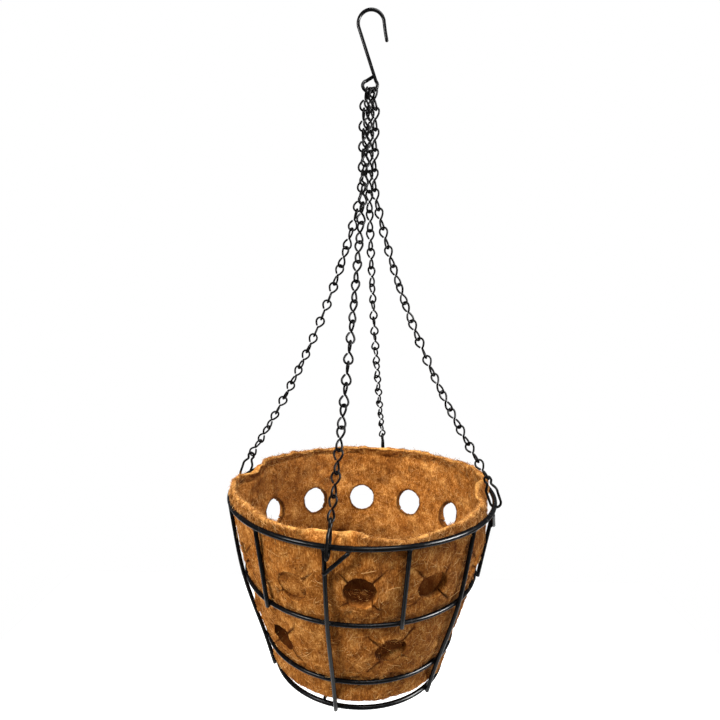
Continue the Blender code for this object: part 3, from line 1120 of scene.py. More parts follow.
@dataclass(frozen=True)
class Hole:
    """One planting hole: angle, drop under the rim, radius, state, its flaps' turn and the painted shade on
    its cut wall.
    """

    angle: float
    drop: float
    radius: float
    state: HoleState
    turn: float = 0.0
    shade: float = 0.0


@dataclass(frozen=True)
class FlapFit:
    """How a flap hangs in its hole: its free edge from the middle, tilt, depth under the face and overlap.

    A free edge past the hole's far side leaves the flap round.
    """

    gap: float
    tilt: float
    sink: float
    spare: float = -0.0003


@dataclass
class Liner:
    """The moulded coir shell: its draped wall, planting holes, slits and cut flaps."""

    wall: float = 0.0078
    edge_wall: float = 0.0052
    thin_from: float = -0.012
    rise: float = 0.0155
    top_lean: float = 0.003
    top_curve: float = 1.5
    base_radius: float = 0.1140
    corner: float = 0.0065
    bulge: float = 0.0022
    side_bulge: float = 0.0016
    columns: int = 400
    top_rows: int = 10
    wall_rows: tuple[int, int] = (38, 34)
    foot_rows: int = 9
    corner_rows: int = 7
    base_rows: int = 13
    roll_rows: int = 8
    roll_height: float = 0.35
    dent_root: float = 0.0082
    dent_slope: float = 0.32
    dent_flat: float = math.radians(5.5)
    dent_reach: float = math.radians(15)
    dent_depth: float = 0.045
    dent_fade: float = 0.040
    hole_radius: float = 0.0190
    hole_stretch: float = 0.0004
    hole_rag: float = 0.0009
    hole_sides: int = 40
    small_hole: float = 0.0175
    upper_count: int = 12
    upper_drop: float = 0.064
    upper_tilt: float = 0.008
    lower_count: int = 6
    lower_drop: float = 0.140
    lower_first: float = 15.0
    shut_angle: float = math.radians(-28)
    shut_lower: float = 0.003
    shut_turn: float = -0.35
    # Painted shade on the shut hole's cut wall
    shut_shade: float = 0.45
    shut_hinge: float = 2.6
    shut_fit: FlapFit = FlapFit(-0.05, math.radians(7), 0.0006, 0.0012)
    clear_angle: float = math.radians(-41.5)
    clear_lower: float = 0.008
    # Painted shade on the clear hole's cut wall
    clear_shade: float = 0.95
    ajar_turn: float = 0.42
    ajar_turn_step: float = 0.25
    ajar_fit: FlapFit = FlapFit(0.0105, math.radians(38), 0.0004)
    flap_wall: float = 0.62
    flap_rag: float = 0.0005
    flap_seed: int = 7
    flap_sides: int = 48
    spill_reach: float = 0.003
    spill_heights: Pair = (-0.012, -0.002)
    spill_from: Pair = (-101.0, -88.0)
    spill_to: Pair = (-69.0, -54.0)
    front_spill: float = 0.004
    front_reach: Pair = (32.0, 62.0)
    slit_length: float = 0.022
    slit_width: float = 0.0019
    slit_root: float = 0.001
    slit_point: float = 0.25
    slit_turn: float = 0.3
    base_fade: Pair = (-0.215, -0.19)
    rim_fade: Pair = (-0.03, 0.0)
    lump_fade: Pair = (-0.222, -0.19)
    base_lumps: float = 0.3
    pole_fade: Pair = (0.0, 0.09)
    torn_edge: Unevenness = Unevenness(5, 0.10, 0.010, 0.0007)
    outer_lumps: tuple[Unevenness, ...] = (Unevenness(11, 0.070, 0.016, 0.0008),
                                           Unevenness(12, 0.014, 0.005, 0.0004))
    inner_lumps: tuple[Unevenness, ...] = (Unevenness(21, 0.090, 0.020, 0.0010),
                                           Unevenness(22, 0.014, 0.005, 0.0004))
    tones: CoirTones = CoirTones()
    # The top edge's height over the rim in millimetres, by its angle in degrees
    edge: tuple[Pair, ...] = (
        (-180, 11), (-165, 9.5), (-150, 9.5), (-135, 10.5), (-115, 13), (-95, 14), (-75, 14), (-60, 15),
        (-45, 14), (-30, 11), (-17, 9), (0, 12), (8, 8), (15, 3), (25, 7), (35, 10.5), (45, 12), (60, 16),
        (75, 17), (95, 19), (110, 17), (130, 12), (150, 12.5), (170, 13), (180, 12))

    @staticmethod
    def base_height() -> float:
        """Return the height of the liner's underside, resting on the base cross."""
        return BASE_RING.height + BASE_RING.wire / 2 + CROSS_WIRE * 2 + SEAT_GAP * 3

    def profile(self) -> np.ndarray:
        """Draw the plain wall from its top edge down to the base's middle.

        Returns:
            The wall's radius and height pairs.
        """
        touch = [(hoop.radius - hoop.wire / 2 - SEAT_GAP * 2, hoop.height) for hoop in LINER_HOOPS]
        base = self.base_height()
        corner = (self.base_radius + self.corner, base + self.corner)
        rows = []
        for step in range(self.top_rows):
            left = 1 - step / self.top_rows
            rows.append((touch[0][0] - self.top_lean * left ** self.top_curve, self.rise * left))
        spans = zip(touch, [*touch[1:], corner], (*self.wall_rows, self.foot_rows),
                    (self.bulge, self.bulge, 0.0))
        for upper, lower, count, bulge in spans:
            for step in range(count):
                run = step / count
                rows.append((upper[0] + (lower[0] - upper[0]) * run + bulge * math.sin(math.pi * run),
                             upper[1] + (lower[1] - upper[1]) * run))
        for step in range(self.corner_rows + 1):
            turn = math.pi / 2 * step / self.corner_rows
            rows.append((self.base_radius + self.corner * math.cos(turn),
                         corner[1] - self.corner * math.sin(turn)))
        for step in range(1, self.base_rows + 1):
            rows.append((self.base_radius * (1 - step / (self.base_rows + 1)), base))
        return np.array(rows)

    def wall_radius(self, drop: float) -> float:
        """Return the plain wall's radius at a depth under the rim."""
        rows = self.profile()[::-1][self.base_rows + 1:]
        return float(np.interp(-drop, rows[:, 1], rows[:, 0]))

    def dent(self, angle: np.ndarray, height: np.ndarray) -> np.ndarray:
        """Return how far the clips press the wall in.

        Args:
            angle: the places' angles.
            height: their heights.

        Returns:
            The depths of the dents.
        """
        deepest = np.zeros(np.broadcast(angle, height).shape)
        for hanger in HANGERS:
            away = np.abs(wrapped(angle - hanger.angle()))
            deepest = np.maximum(deepest, 1 - smooth_step(self.dent_flat, self.dent_reach, away))
        fade = np.clip((height + self.dent_depth) / self.dent_fade, 0.0, 1.0)
        return deepest * (self.dent_root * fade + self.dent_slope * np.maximum(0.0, height))

    def edge_height(self, angle: np.ndarray) -> np.ndarray:
        """Return the height of the wall's uneven top edge over the rim.

        Args:
            angle: the places' angles.

        Returns:
            The heights.
        """
        uneven = self.torn_edge.offsets(angle, np.zeros_like(angle))
        places, heights = zip(*self.edge)
        return np.interp(np.degrees(wrapped(angle)), places, heights) * MM + uneven

    def spill(self, angle: np.ndarray, height: np.ndarray) -> np.ndarray:
        """Return how far the wall's edge spills out, over the rim at the left and upright at the front.

        Args:
            angle: the places' angles.
            height: their heights.

        Returns:
            The distances.
        """
        turned = np.degrees(wrapped(angle))
        beside = smooth_step(*self.spill_from, turned) * (1 - smooth_step(*self.spill_to, turned))
        front = 1 - smooth_step(*self.front_reach, np.abs(turned))
        return (self.spill_reach * beside * smooth_step(*self.spill_heights, height)
                + self.front_spill * front * np.clip(height / self.rise, 0.0, 1.0))

    def place(self, angle: np.ndarray, rows: np.ndarray) -> np.ndarray:
        """Return the draped shell's points.

        Args:
            angle: the columns' angles.
            rows: for each row its plain radius and height, depth into the wall, lift over the edge, outward
                normal in radius and height, and inner share.

        Returns:
            Points by row and column.
        """
        radius, height, depth, lift, out_r, out_z, inner = (rows[:, at:at + 1] for at in range(7))
        turned = angle[None, :]
        height = np.where(height > 0, height * self.edge_height(angle)[None, :] / self.rise, height)
        pole = smooth_step(*self.pole_fade, radius)
        lumps = sum(waves.offsets(turned, height) for waves in self.outer_lumps) * pole
        lumps *= self.base_lumps + (1 - self.base_lumps) * smooth_step(*self.lump_fade, height)
        inside = sum(waves.offsets(turned, height) for waves in self.inner_lumps) * pole
        between = np.abs(np.sin((turned - FIRST_UPRIGHT) * UPRIGHT_COUNT / 2))
        wall = smooth_step(*self.base_fade, height) * (1 - smooth_step(*self.rim_fade, height))
        lowest = -LOWER_HOOP.height
        hoop_gap = np.abs(np.sin(math.pi * np.clip(-height, 0.0, lowest) / (lowest / 2)))
        moved = (lumps + self.side_bulge * between * wall * hoop_gap) * (1 - inner) + inside * inner - depth
        along = radius + moved * out_r + self.spill(turned, height) - self.dent(turned, height)
        up = height + moved * out_z + lift
        return np.stack([along * np.sin(turned), -along * np.cos(turned), RIM_Z + up], axis=-1)

    def strip(self) -> np.ndarray:
        """List the shell's rows from the inside of the base over the edge and down to the base again.

        Returns:
            The rows, in the order that place takes.
        """
        plain = self.profile()
        run = np.gradient(plain, axis=0)
        run /= np.linalg.norm(run, axis=1)[:, None]
        facing = np.stack([-run[:, 1], run[:, 0]], axis=1)
        count = len(plain)
        side = np.column_stack([plain, np.zeros(count), np.zeros(count), facing, np.zeros(count)])
        inner = side[::-1].copy()
        thinned = smooth_step(self.thin_from, self.rise, inner[:, 1])
        inner[:, 2] = self.wall + (self.edge_wall - self.wall) * thinned
        inner[:, 6] = 1.0
        roll = []
        for step in range(1, self.roll_rows):
            turn = math.pi * step / self.roll_rows
            row = side[0].copy()
            row[2] = self.edge_wall / 2 * (1 + math.cos(turn))
            row[3] = self.edge_wall * self.roll_height * math.sin(turn)
            row[6] = (1 + math.cos(turn)) / 2
            roll.append(row)
        return np.concatenate([inner, np.array(roll), side])

    def add_shell(self) -> bpy.types.Object:
        """Make the draped shell, closed at both poles.

        Returns:
            The shell.
        """
        count = self.columns
        rows = self.strip()
        points = self.place(np.linspace(0.0, 2 * math.pi, count, endpoint=False), rows)
        poles = [points[0].mean(axis=0), points[-1].mean(axis=0)]
        verts = np.concatenate([points.reshape(-1, 3), np.array(poles)])
        here = np.arange(count)
        nearby = (here + 1) % count
        faces: list[list[int]] = []
        for row in range(len(rows) - 1):
            low, high = row * count, (row + 1) * count
            faces += np.stack([low + here, low + nearby, high + nearby, high + here], axis=1).tolist()
        inner_pole, outer_pole = len(verts) - 2, len(verts) - 1
        last = (len(rows) - 1) * count
        faces += [[inner_pole, int(b), int(a)] for a, b in zip(here, nearby)]
        faces += [[last + int(a), last + int(b), outer_pole] for a, b in zip(here, nearby)]
        shell = add_mesh("coir_liner", verts, faces)
        with editing_whole():
            bpy.ops.mesh.normals_make_consistent(inside=False)
        bpy.ops.object.shade_smooth()
        return shell

    def holes(self) -> list[Hole]:
        """List the planting holes: the upper row, its last one shut, and the lower row, its last one clear.

        Returns:
            The holes.
        """
        holes = []
        for index in range(self.upper_count):
            angle = math.radians(360 / self.upper_count * index)
            drop = self.upper_drop - self.upper_tilt * math.cos(angle)
            radius = self.hole_radius + self.hole_stretch * (1 - math.cos(angle)) / 2
            if index == self.upper_count - 1:
                holes.append(Hole(self.shut_angle, drop + self.shut_lower, radius, HoleState.SHUT,
                                  self.shut_turn, self.shut_shade))
            else:
                holes.append(Hole(angle, drop, radius, HoleState.OPEN))
        for index in range(self.lower_count - 1):
            angle = math.radians(self.lower_first + 360 / self.lower_count * index)
            holes.append(Hole(angle, self.lower_drop, self.hole_radius, HoleState.AJAR,
                              self.ajar_turn - self.ajar_turn_step * index))
        holes.append(Hole(self.clear_angle, self.lower_drop + self.clear_lower, self.small_hole,
                          HoleState.OPEN, shade=self.clear_shade))
        return holes

    def hole_frame(self, hole: Hole) -> Matrix:
        """Return a hole's frame on the wall: X along the hoop, Y up the wall and Z outwards.

        Args:
            hole: the hole.

        Returns:
            The frame's matrix.
        """
        step = self.hole_radius / 2
        slope = (self.wall_radius(hole.drop - step) - self.wall_radius(hole.drop + step)) / (2 * step)
        outward = (radial(hole.angle) - Vector((0.0, 0.0, slope))).normalized()
        along = tangent(hole.angle)
        turn = Matrix((along, outward.cross(along), outward)).transposed().to_4x4()
        return Matrix.Translation(polar(self.wall_radius(hole.drop), hole.angle, RIM_Z - hole.drop)) @ turn

    def add_hole_cutter(self, number: int, hole: Hole) -> bpy.types.Object:
        """Return a ragged round cutter through the wall at one hole.

        Args:
            number: the hole's number, which seeds its ragged edge.
            hole: the hole.

        Returns:
            The cutter.
        """
        cutter = add_primitive(bpy.ops.mesh.primitive_cylinder_add, vertices=self.hole_sides,
                               radius=hole.radius, depth=self.wall * 4)
        with editing_whole():
            bpy.ops.transform.vertex_random(offset=self.hole_rag, seed=number + 1)
        cutter.data.transform(self.hole_frame(hole))
        return cutter

    def slit_headings(self, hole: Hole) -> list[float]:
        """Return the directions of a hole's slits, two where its flap is shut and else four."""
        step = 180 if hole.state is HoleState.SHUT else 90
        return [math.radians(corner) + hole.turn * self.slit_turn for corner in range(45, 360, step)]

    def add_slit_cutters(self, hole: Hole) -> list[bpy.types.Object]:
        """Return the thin wedges that slit the wall outwards from one hole.

        Args:
            hole: the hole.

        Returns:
            The cutters.
        """
        cutters = []
        reach = hole.radius + self.slit_length / 2 - self.slit_root
        for heading in self.slit_headings(hole):
            cutter = add_primitive(bpy.ops.mesh.primitive_cube_add, size=1.0)
            with editing_whole():
                bpy.ops.transform.resize(value=(self.slit_length, self.slit_width, self.wall * 1.1))
            for vert in cutter.data.vertices:
                if vert.co.x > 0:
                    vert.co.y *= self.slit_point
            cutter.data.transform(self.hole_frame(hole) @ Matrix.Rotation(heading, 4, "Z")
                                  @ Matrix.Translation((reach, 0.0, 0.0)))
            cutters.append(cutter)
        return cutters

    @staticmethod
    def cut(shell: bpy.types.Object, cutters: Sequence[bpy.types.Object], name: str) -> None:
        """Cut a shell with cutters that stay clear of each other, and delete the cutters.

        Args:
            shell: the shell.
            cutters: the cutters.
            name: the joined cutter's name.
        """
        cutter = join_pieces(cutters, name)
        select_only(cutter)
        with editing_whole():
            bpy.ops.mesh.normals_make_consistent(inside=False)
        select_only(shell)
        cut = shell.modifiers.new(name, "BOOLEAN")
        cut.operation = "DIFFERENCE"
        cut.solver = "MANIFOLD"
        cut.object = cutter
        bpy.ops.object.modifier_apply(modifier=name)
        bpy.data.objects.remove(cutter, do_unlink=True)

    def add_flap(self, hole: Hole, heading: float, fit: FlapFit) -> bpy.types.Object:
        """Return one cut flap that hangs in a hole.

        Args:
            hole: the hole.
            heading: the direction from the hole's middle to the flap's hinge.
            fit: how the flap hangs.

        Returns:
            The flap's object.
        """
        radius = hole.radius + fit.spare
        depth = self.wall * self.flap_wall
        flap = add_primitive(bpy.ops.mesh.primitive_cylinder_add, vertices=self.flap_sides, radius=radius,
                             depth=depth)
        with editing_whole():
            bpy.ops.mesh.bisect(plane_co=(fit.gap, 0.0, 0.0), plane_no=(1.0, 0.0, 0.0), use_fill=True,
                                clear_inner=True)
            bpy.ops.mesh.select_all(action="SELECT")
            bpy.ops.mesh.quads_convert_to_tris()
            bpy.ops.mesh.subdivide(number_cuts=2)
            bpy.ops.transform.vertex_random(offset=self.flap_rag, seed=self.flap_seed)
            bpy.ops.mesh.normals_make_consistent(inside=False)
        hinge = Matrix.Translation((radius, 0.0, 0.0))
        swung = hinge @ Matrix.Rotation(-fit.tilt, 4, "Y") @ hinge.inverted()
        sunk = Matrix.Translation((0.0, 0.0, -depth / 2 - fit.sink))
        flap.data.transform(self.hole_frame(hole) @ sunk @ Matrix.Rotation(heading, 4, "Z") @ swung)
        bpy.ops.object.shade_smooth()
        return flap

    def add_flaps(self) -> bpy.types.Object:
        """Make the flaps of every hole that isn't clear.

        Returns:
            The flaps as one piece.
        """
        flaps = []
        for hole in self.holes():
            if hole.state is HoleState.SHUT:
                flaps.append(self.add_flap(hole, hole.turn + self.shut_hinge, self.shut_fit))
            elif hole.state is HoleState.AJAR:
                for side in (0, 1):
                    heading = hole.turn + math.pi / 2 + math.pi * side
                    flaps.append(self.add_flap(hole, heading, self.ajar_fit))
        return join_pieces(flaps, "planting_hole_flaps")

    def from_cuts(self, points: np.ndarray) -> tuple[np.ndarray, np.ndarray, np.ndarray]:
        """Return how far points lie from the cuts in the wall.

        Args:
            points: the points.

        Returns:
            The distances to the nearest slit and to the nearest hole's edge, and that hole's shade.
        """
        to_slit = np.full(len(points), 1.0)
        to_hole = np.full(len(points), 1.0)
        shade = np.zeros(len(points))
        for hole in self.holes():
            place = self.hole_frame(hole)
            local = (points - np.array(place.translation)) @ np.array(place.to_3x3())
            from_edge = np.abs(np.hypot(local[:, 0], local[:, 1]) - hole.radius)
            nearer = (np.abs(local[:, 2]) < self.wall * 2) & (from_edge < to_hole)
            to_hole = np.where(nearer, from_edge, to_hole)
            shade = np.where(nearer, hole.shade, shade)
            for heading in self.slit_headings(hole):
                turn = place @ Matrix.Rotation(heading, 4, "Z")
                start = np.array(turn @ Vector((hole.radius, 0.0, 0.0)))
                run = np.array(turn @ Vector((hole.radius + self.slit_length, 0.0, 0.0))) - start
                share = np.clip((points - start) @ run / (run @ run), 0.0, 1.0)[:, None]
                to_slit = np.minimum(to_slit, np.linalg.norm(points - start - share * run, axis=1))
        return to_slit, to_hole, shade

    @staticmethod
    def from_wires(angle: np.ndarray, height: np.ndarray) -> np.ndarray:
        """Return how far places on the wall lie from the nearest hoop or upright.

        Args:
            angle: the places' angles.
            height: their heights.

        Returns:
            The distances.
        """
        nearest = np.min([np.abs(height - hoop.height) for hoop in LINER_HOOPS], axis=0)
        every = 2 * math.pi / UPRIGHT_COUNT
        for spacing, lowest in ((every, UPPER_HOOP.height), (2 * every, -1.0)):
            turned = (angle - FIRST_UPRIGHT + spacing / 2) % spacing - spacing / 2
            away = np.abs(turned) * UPPER_HOOP.radius
            nearest = np.where((height > lowest) & (height < 0.0), np.minimum(nearest, away), nearest)
        return nearest

    def mark_tones(self, shell: bpy.types.Object) -> None:
        """Mark the coir's painted shade, the painted light on its top edge, and where it is bare of strands.

        Args:
            shell: the cut shell.
        """
        tones = self.tones
        mesh = shell.data
        points = read_points(mesh)
        height = points[:, 2] - RIM_Z
        angle = np.arctan2(points[:, 0], -points[:, 1])
        rows = self.profile()[::-1][self.base_rows:]
        outer = np.interp(height, rows[:, 1], rows[:, 0])
        inside = (outer - np.hypot(points[:, 0], points[:, 1])) / self.wall
        inside = np.minimum(inside, (height - self.base_height()) / self.wall)
        to_slit, to_hole, shade = self.from_cuts(points)
        # Painted light on the top edge; painted shade deep inside, in slits, at the holes' inner rims, beside
        # the wires and on the lip's outer face
        dry = smooth_step(tones.painted_light_from, 1.0, height / self.edge_height(angle))
        deep = tones.deep * (1 - smooth_step(*tones.deep_heights, height))
        slit = tones.slit * (1 - smooth_step(*tones.slit_fade, to_slit))
        cut_rim = tones.cut_rim * (1 - smooth_step(*tones.cut_rim_fade, to_hole))
        wire = tones.wire * (1 - smooth_step(*tones.wire_fade, self.from_wires(angle, height)))
        lip = tones.lip * smooth_step(*tones.lip_heights, height) * (1 - dry)
        damp = np.maximum.reduce([deep * smooth_step(*tones.deep_inside, inside), slit,
                                  cut_rim * smooth_step(*tones.cut_rim_inside, inside),
                                  np.maximum(wire, lip) * (1 - smooth_step(*tones.shade_outside_fade, inside))])
        bare = tones.bare * (1 - smooth_step(*tones.bare_fade, np.minimum(to_slit, to_hole)))
        pressed = smooth_step(*tones.pressed, self.dent(angle, np.zeros_like(angle)) / self.dent_root)
        bare = np.maximum(bare, pressed * smooth_step(*tones.pressed_heights, height))
        corners = np.empty(len(mesh.loops), dtype=np.int32)
        mesh.loops.foreach_get("vertex_index", corners)
        sizes = np.empty(len(mesh.polygons), dtype=np.int32)
        mesh.polygons.foreach_get("loop_total", sizes)
        farthest = np.maximum.reduceat(to_hole[corners], np.cumsum(sizes) - sizes)
        cut_faces = np.repeat(farthest < tones.cut_face, sizes)
        # Painted shade on the cut walls of holes that stand in shade
        shade_weight = np.maximum(damp[corners], shade[corners] * cut_faces)
        marks = (("damp", "CORNER", shade_weight), ("bare", "POINT", bare), ("dry", "POINT", dry))
        for name, domain, values in marks:
            mark = mesh.attributes.new(name, "FLOAT", domain)
            mark.data.foreach_set("value", values.astype(np.float32))

    def build(self, coir: bpy.types.Material) -> list[bpy.types.Object]:
        """Make the shell, cut it and hang its flaps.

        Args:
            coir: the liner's finish.

        Returns:
            The shell and the flaps.
        """
        shell = self.add_shell()
        holes = self.holes()
        rounds = [self.add_hole_cutter(number, hole) for number, hole in enumerate(holes)]
        self.cut(shell, rounds, "hole_cutters")
        slits = [cutter for hole in holes for cutter in self.add_slit_cutters(hole)]
        self.cut(shell, slits, "slit_cutters")
        self.mark_tones(shell)
        flaps = self.add_flaps()
        dress(shell, coir, Body.BASKET, Slot.COIR, "liner")
        dress(flaps, coir, Body.BASKET, Slot.COIR)
        return [shell, flaps]


@dataclass
class Strands:
    """Loose coir strands that lie on the liner's faces, on both sides where facing is 0."""

    name: str
    count: int
    seed: int
    lowest: float
    highest: float
    shortest: float = 0.009
    longest: float = 0.024
    length_bias: float = 1.6
    thickness: float = 0.00036
    thick_least: float = 0.6
    thick_spread: float = 0.8
    lift: float = 0.0006
    lift_least: float = 0.25
    lift_spread: float = 1.5
    root: float = 0.0004
    curl: float = 0.10
    loose_share: float = 0.08
    loose_lift: float = 2.4
    end_width: float = 0.45
    tone: float = 0.55
    tone_spread: float = 0.27
    facing: int = 0
    stations: int = 5
    sides: int = 3

    def sample(self, source: bpy.types.Object, rng: np.random.Generator) -> tuple[np.ndarray, np.ndarray]:
        """Return points on a mesh and their outward normals, spread by area.

        Args:
            source: the mesh that the strands lie on.
            rng: the random draws.

        Returns:
            The points and the normals.
        """
        mesh = source.data
        mesh.calc_loop_triangles()
        corners = np.empty(len(mesh.loop_triangles) * 3, dtype=np.int32)
        mesh.loop_triangles.foreach_get("vertices", corners)
        corners = corners.reshape(-1, 3)
        tris = read_points(mesh)[corners]
        cross = np.cross(tris[:, 1] - tris[:, 0], tris[:, 2] - tris[:, 0])
        area = np.linalg.norm(cross, axis=1)
        middle = tris.mean(axis=1)
        normal = cross / np.maximum(area, 1e-12)[:, None]
        height = middle[:, 2] - RIM_Z
        keep = (height > self.lowest) & (height < self.highest)
        if self.facing:
            keep &= (normal[:, :2] * middle[:, :2]).sum(axis=1) * self.facing > 0
        area = np.where(keep, area, 0.0)
        if "bare" in mesh.attributes:
            bare = np.empty(len(mesh.vertices), dtype=np.float32)
            mesh.attributes["bare"].data.foreach_get("value", bare)
            area = area * (1 - bare[corners].max(axis=1))
        chosen = rng.choice(len(tris), self.count, p=area / area.sum())
        u, v = rng.random((2, self.count, 1))
        flip = u + v > 1
        u, v = np.where(flip, 1 - u, u), np.where(flip, 1 - v, v)
        picked = tris[chosen]
        return picked[:, 0] * (1 - u - v) + picked[:, 1] * u + picked[:, 2] * v, normal[chosen]

    def lay(self, source: bpy.types.Object, rng: np.random.Generator) -> np.ndarray:
        """Return the strands' points, station by station along each strand.

        Args:
            source: the piece that the strands lie on.
            rng: the random draws.

        Returns:
            The points, one to a row.
        """
        start, normal = self.sample(source, rng)
        guide = rng.normal(size=(self.count, 3))
        along = guide - normal * (guide * normal).sum(axis=1)[:, None]
        along /= np.linalg.norm(along, axis=1)[:, None]
        side = np.cross(normal, along)
        column = (self.count, 1)
        spread = self.longest - self.shortest
        length = self.shortest + spread * rng.random(column) ** self.length_bias
        curl = rng.normal(size=column) * self.curl
        lift = self.lift * (self.lift_least + self.lift_spread * rng.random(column) ** 2)
        thick = self.thickness / 2 * (self.thick_least + self.thick_spread * rng.random(column))
        loose = rng.random(column) < self.loose_share
        rings = []
        for station in range(self.stations):
            t = station / (self.stations - 1)
            arch = math.sin(math.pi * t)
            rise = lift * arch - self.root * (1 - arch) + np.where(loose, lift * self.loose_lift * t * t, 0.0)
            centre = start + along * length * (t - 0.5) + side * length * curl * (arch - 0.5) + normal * rise
            width = thick * (1.0 if 0 < station < self.stations - 1 else self.end_width)
            for corner in range(self.sides):
                turn = 2 * math.pi * corner / self.sides
                rings.append(centre + (normal * math.cos(turn) + side * math.sin(turn)) * width)
        return np.stack(rings, axis=1).reshape(-1, 3)

    def build(self, source: bpy.types.Object, finish: bpy.types.Material) -> None:
        """Lay the strands on a piece and dress them.

        Args:
            source: the piece.
            finish: the strands' finish.
        """
        rng = np.random.default_rng(self.seed)
        points = self.lay(source, rng)
        pattern = []
        for station in range(self.stations - 1):
            for corner in range(self.sides):
                a, b = (station * self.sides + (corner + step) % self.sides for step in (0, 1))
                pattern.append((a, b, b + self.sides, a + self.sides))
        per = self.stations * self.sides
        faces = (np.array(pattern)[None, :, :] + np.arange(self.count)[:, None, None] * per).reshape(-1, 4)
        piece = add_mesh(self.name, points, faces.tolist())
        tones = np.clip(rng.normal(self.tone, self.tone_spread, self.count), 0, 1)
        mark = piece.data.attributes.new("tone", "FLOAT", "POINT")
        mark.data.foreach_set("value", np.repeat(tones, per))
        bpy.ops.object.shade_smooth()
        dress(piece, finish, Body.BASKET, Slot.COIR)


# The studio


@dataclass(frozen=True)
class SoftLight:
    """One soft light: its name, place, width and height, watts, and whether only reflections show it."""

    name: str
    place: Triple
    size: Pair
    power: float
    glint_only: bool = False


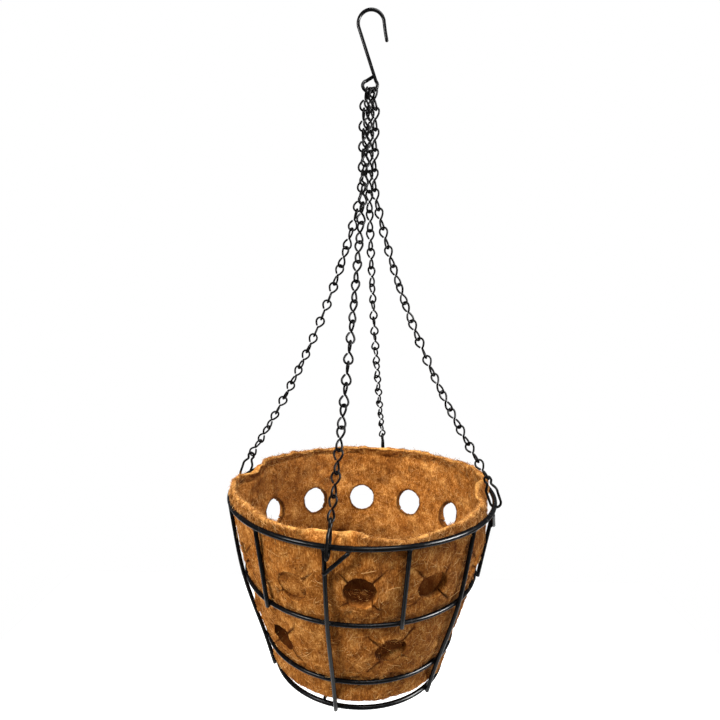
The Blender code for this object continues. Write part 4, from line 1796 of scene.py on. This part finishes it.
@dataclass
class Studio:
    """The pale floor, the soft lights and the camera of the photograph's view."""

    camera_place: Triple = (0.0, -0.69715, 0.25805 + RIM_Z)
    pitch: float = math.radians(-6.694)
    yaw: float = math.radians(-0.50)
    roll: float = math.radians(1.0655)
    focal_pixels: float = 531.5
    image_pixels: float = 720.0
    sensor_width: float = 36.0
    near_clip: float = 0.01
    floor_z: float = -1.90
    floor_y: float = 0.5
    floor_size: float = 3.2
    floor_grain: float = 1 / 60
    floor_shade: str = "#f7f7f6"
    floor_light: str = "#fbfbfa"
    floor_roughness: float = 0.9
    floor_glow: float = 0.95
    room_glow: float = 0.24
    aim: Triple = (0.0, 0.0, RIM_Z - 0.1)
    lights: tuple[SoftLight, ...] = (
        SoftLight("left_light", (-1.3, -0.95, 0.40), (0.45, 0.45), 50.0),
        SoftLight("right_light", (1.65, -0.50, 0.10), (0.6, 0.4), 8.0),
        SoftLight("glint_light", (1.60, -0.55, 0.12), (0.8, 0.7), 230.0, glint_only=True),
        SoftLight("top_light", (0.34, -0.80, 1.15), (0.7, 0.7), 53.0))

    def add_camera(self) -> None:
        """Add the camera and make it the scene's own."""
        level = math.cos(self.pitch)
        forward = Vector((math.sin(self.yaw) * level, math.cos(self.yaw) * level, math.sin(self.pitch)))
        right = forward.cross(Vector((0.0, 0.0, 1.0))).normalized()
        up = right.cross(forward)
        across = right * math.cos(self.roll) + up * math.sin(self.roll)
        upward = up * math.cos(self.roll) - right * math.sin(self.roll)
        turn = Matrix((across, upward, -forward)).transposed().to_4x4()
        data = bpy.data.cameras.new("photo_camera")
        data.sensor_width = self.sensor_width
        data.lens = self.focal_pixels / self.image_pixels * self.sensor_width
        data.clip_start = self.near_clip
        camera = bpy.data.objects.new("photo_camera", data)
        bpy.context.scene.collection.objects.link(camera)
        camera.matrix_world = Matrix.Translation(self.camera_place) @ turn
        bpy.context.scene.camera = camera

    def add_light(self, light: SoftLight) -> None:
        """Add one soft light, turned to the basket.

        Args:
            light: the light.
        """
        data = bpy.data.lights.new(light.name, "AREA")
        data.shape = "RECTANGLE"
        data.size, data.size_y = light.size
        data.energy = light.power
        lamp = bpy.data.objects.new(light.name, data)
        bpy.context.scene.collection.objects.link(lamp)
        lamp.location = light.place
        lamp.rotation_euler = (Vector(self.aim) - Vector(light.place)).to_track_quat("-Z", "Y").to_euler()
        lamp.visible_diffuse = not light.glint_only

    def add_floor(self) -> None:
        """Add the matt white floor, well under the hanging basket."""
        material, tree, shader = new_material("matt_white_floor")
        place = add_node(tree, "ShaderNodeTexCoord", {}).outputs["Object"]
        grain = add_noise(tree, place, self.floor_grain, 2.0)
        tone = add_node(tree, "ShaderNodeValToRGB", {"Fac": grain},
                        stops=[(0.3, linear(self.floor_shade)), (0.7, linear(self.floor_light))])
        tree.links.new(tone.outputs["Color"], shader.inputs["Base Color"])
        shader.inputs["Roughness"].default_value = self.floor_roughness
        shader.inputs["Emission Color"].default_value = WHITE
        shader.inputs["Emission Strength"].default_value = self.floor_glow
        floor = add_primitive(bpy.ops.mesh.primitive_plane_add, size=self.floor_size,
                              location=(0.0, self.floor_y, self.floor_z))
        floor.name = "studio_floor"
        floor.data.materials.append(material)

    def add_room(self) -> None:
        """Add the white room, which the camera sees brighter than it shines."""
        world = bpy.data.worlds.new("white_room")
        world.use_nodes = True
        tree = world.node_tree
        seen = add_node(tree, "ShaderNodeLightPath", {}).outputs["Is Camera Ray"]
        glow = add_node(tree, "ShaderNodeMapRange", {"Value": seen, "To Min": self.room_glow, "To Max": 1.0})
        background = tree.nodes["Background"]
        background.inputs["Color"].default_value = WHITE
        tree.links.new(glow.outputs["Result"], background.inputs["Strength"])
        bpy.context.scene.world = world

    def build(self) -> None:
        """Set up the surroundings, the lights and the view."""
        bpy.context.scene.view_settings.view_transform = "Standard"
        self.add_room()
        self.add_floor()
        for light in self.lights:
            self.add_light(light)
        self.add_camera()


def main() -> None:
    """Build the basket's pieces and its studio."""
    logging.basicConfig(level=logging.INFO, format="%(name)s %(message)s")
    coated = CoatedWireFinish("black_plastic_coated_steel").build()
    chain = CoatedWireFinish("black_lacquered_chain", colour="#070606", scuff="#1c1a18", roughness=0.30,
                             gloss=0.06, peel=0.9 * MM, scuff_size=5 * MM).build()
    coir = CoirFinish().build()
    strand = StrandFinish().build()
    hook = Hook()
    hook.build(coated)
    Suspension(hook).build(chain)
    WireFrame().build(coated)
    shell, flaps = Liner().build(coir)
    Strands("outer_strands", 4500, 31, -0.30, 0.004, shortest=0.006, longest=0.020,
            facing=1).build(shell, strand)
    Strands("outer_hairs", 8000, 35, -0.30, 0.004, shortest=0.004, longest=0.011, thickness=0.0003,
            facing=1).build(shell, strand)
    Strands("inner_strands", 8000, 32, -0.13, 0.004, shortest=0.005, longest=0.014, thickness=0.00026,
            facing=-1).build(shell, strand)
    Strands("edge_strands", 4400, 33, 0.0, 0.06, shortest=0.006, longest=0.016, lift=0.0009,
            tone=0.48).build(shell, strand)
    Strands("flap_strands", 500, 34, -0.30, 0.0, shortest=0.005, longest=0.012).build(flaps, strand)
    Strands("stray_fibres", 240, 36, -0.30, 0.02, shortest=0.014, longest=0.030, lift=0.0016, tone=0.9,
            facing=1, stations=9).build(shell, strand)
    Studio().build()


if __name__ == "__main__":
    main()
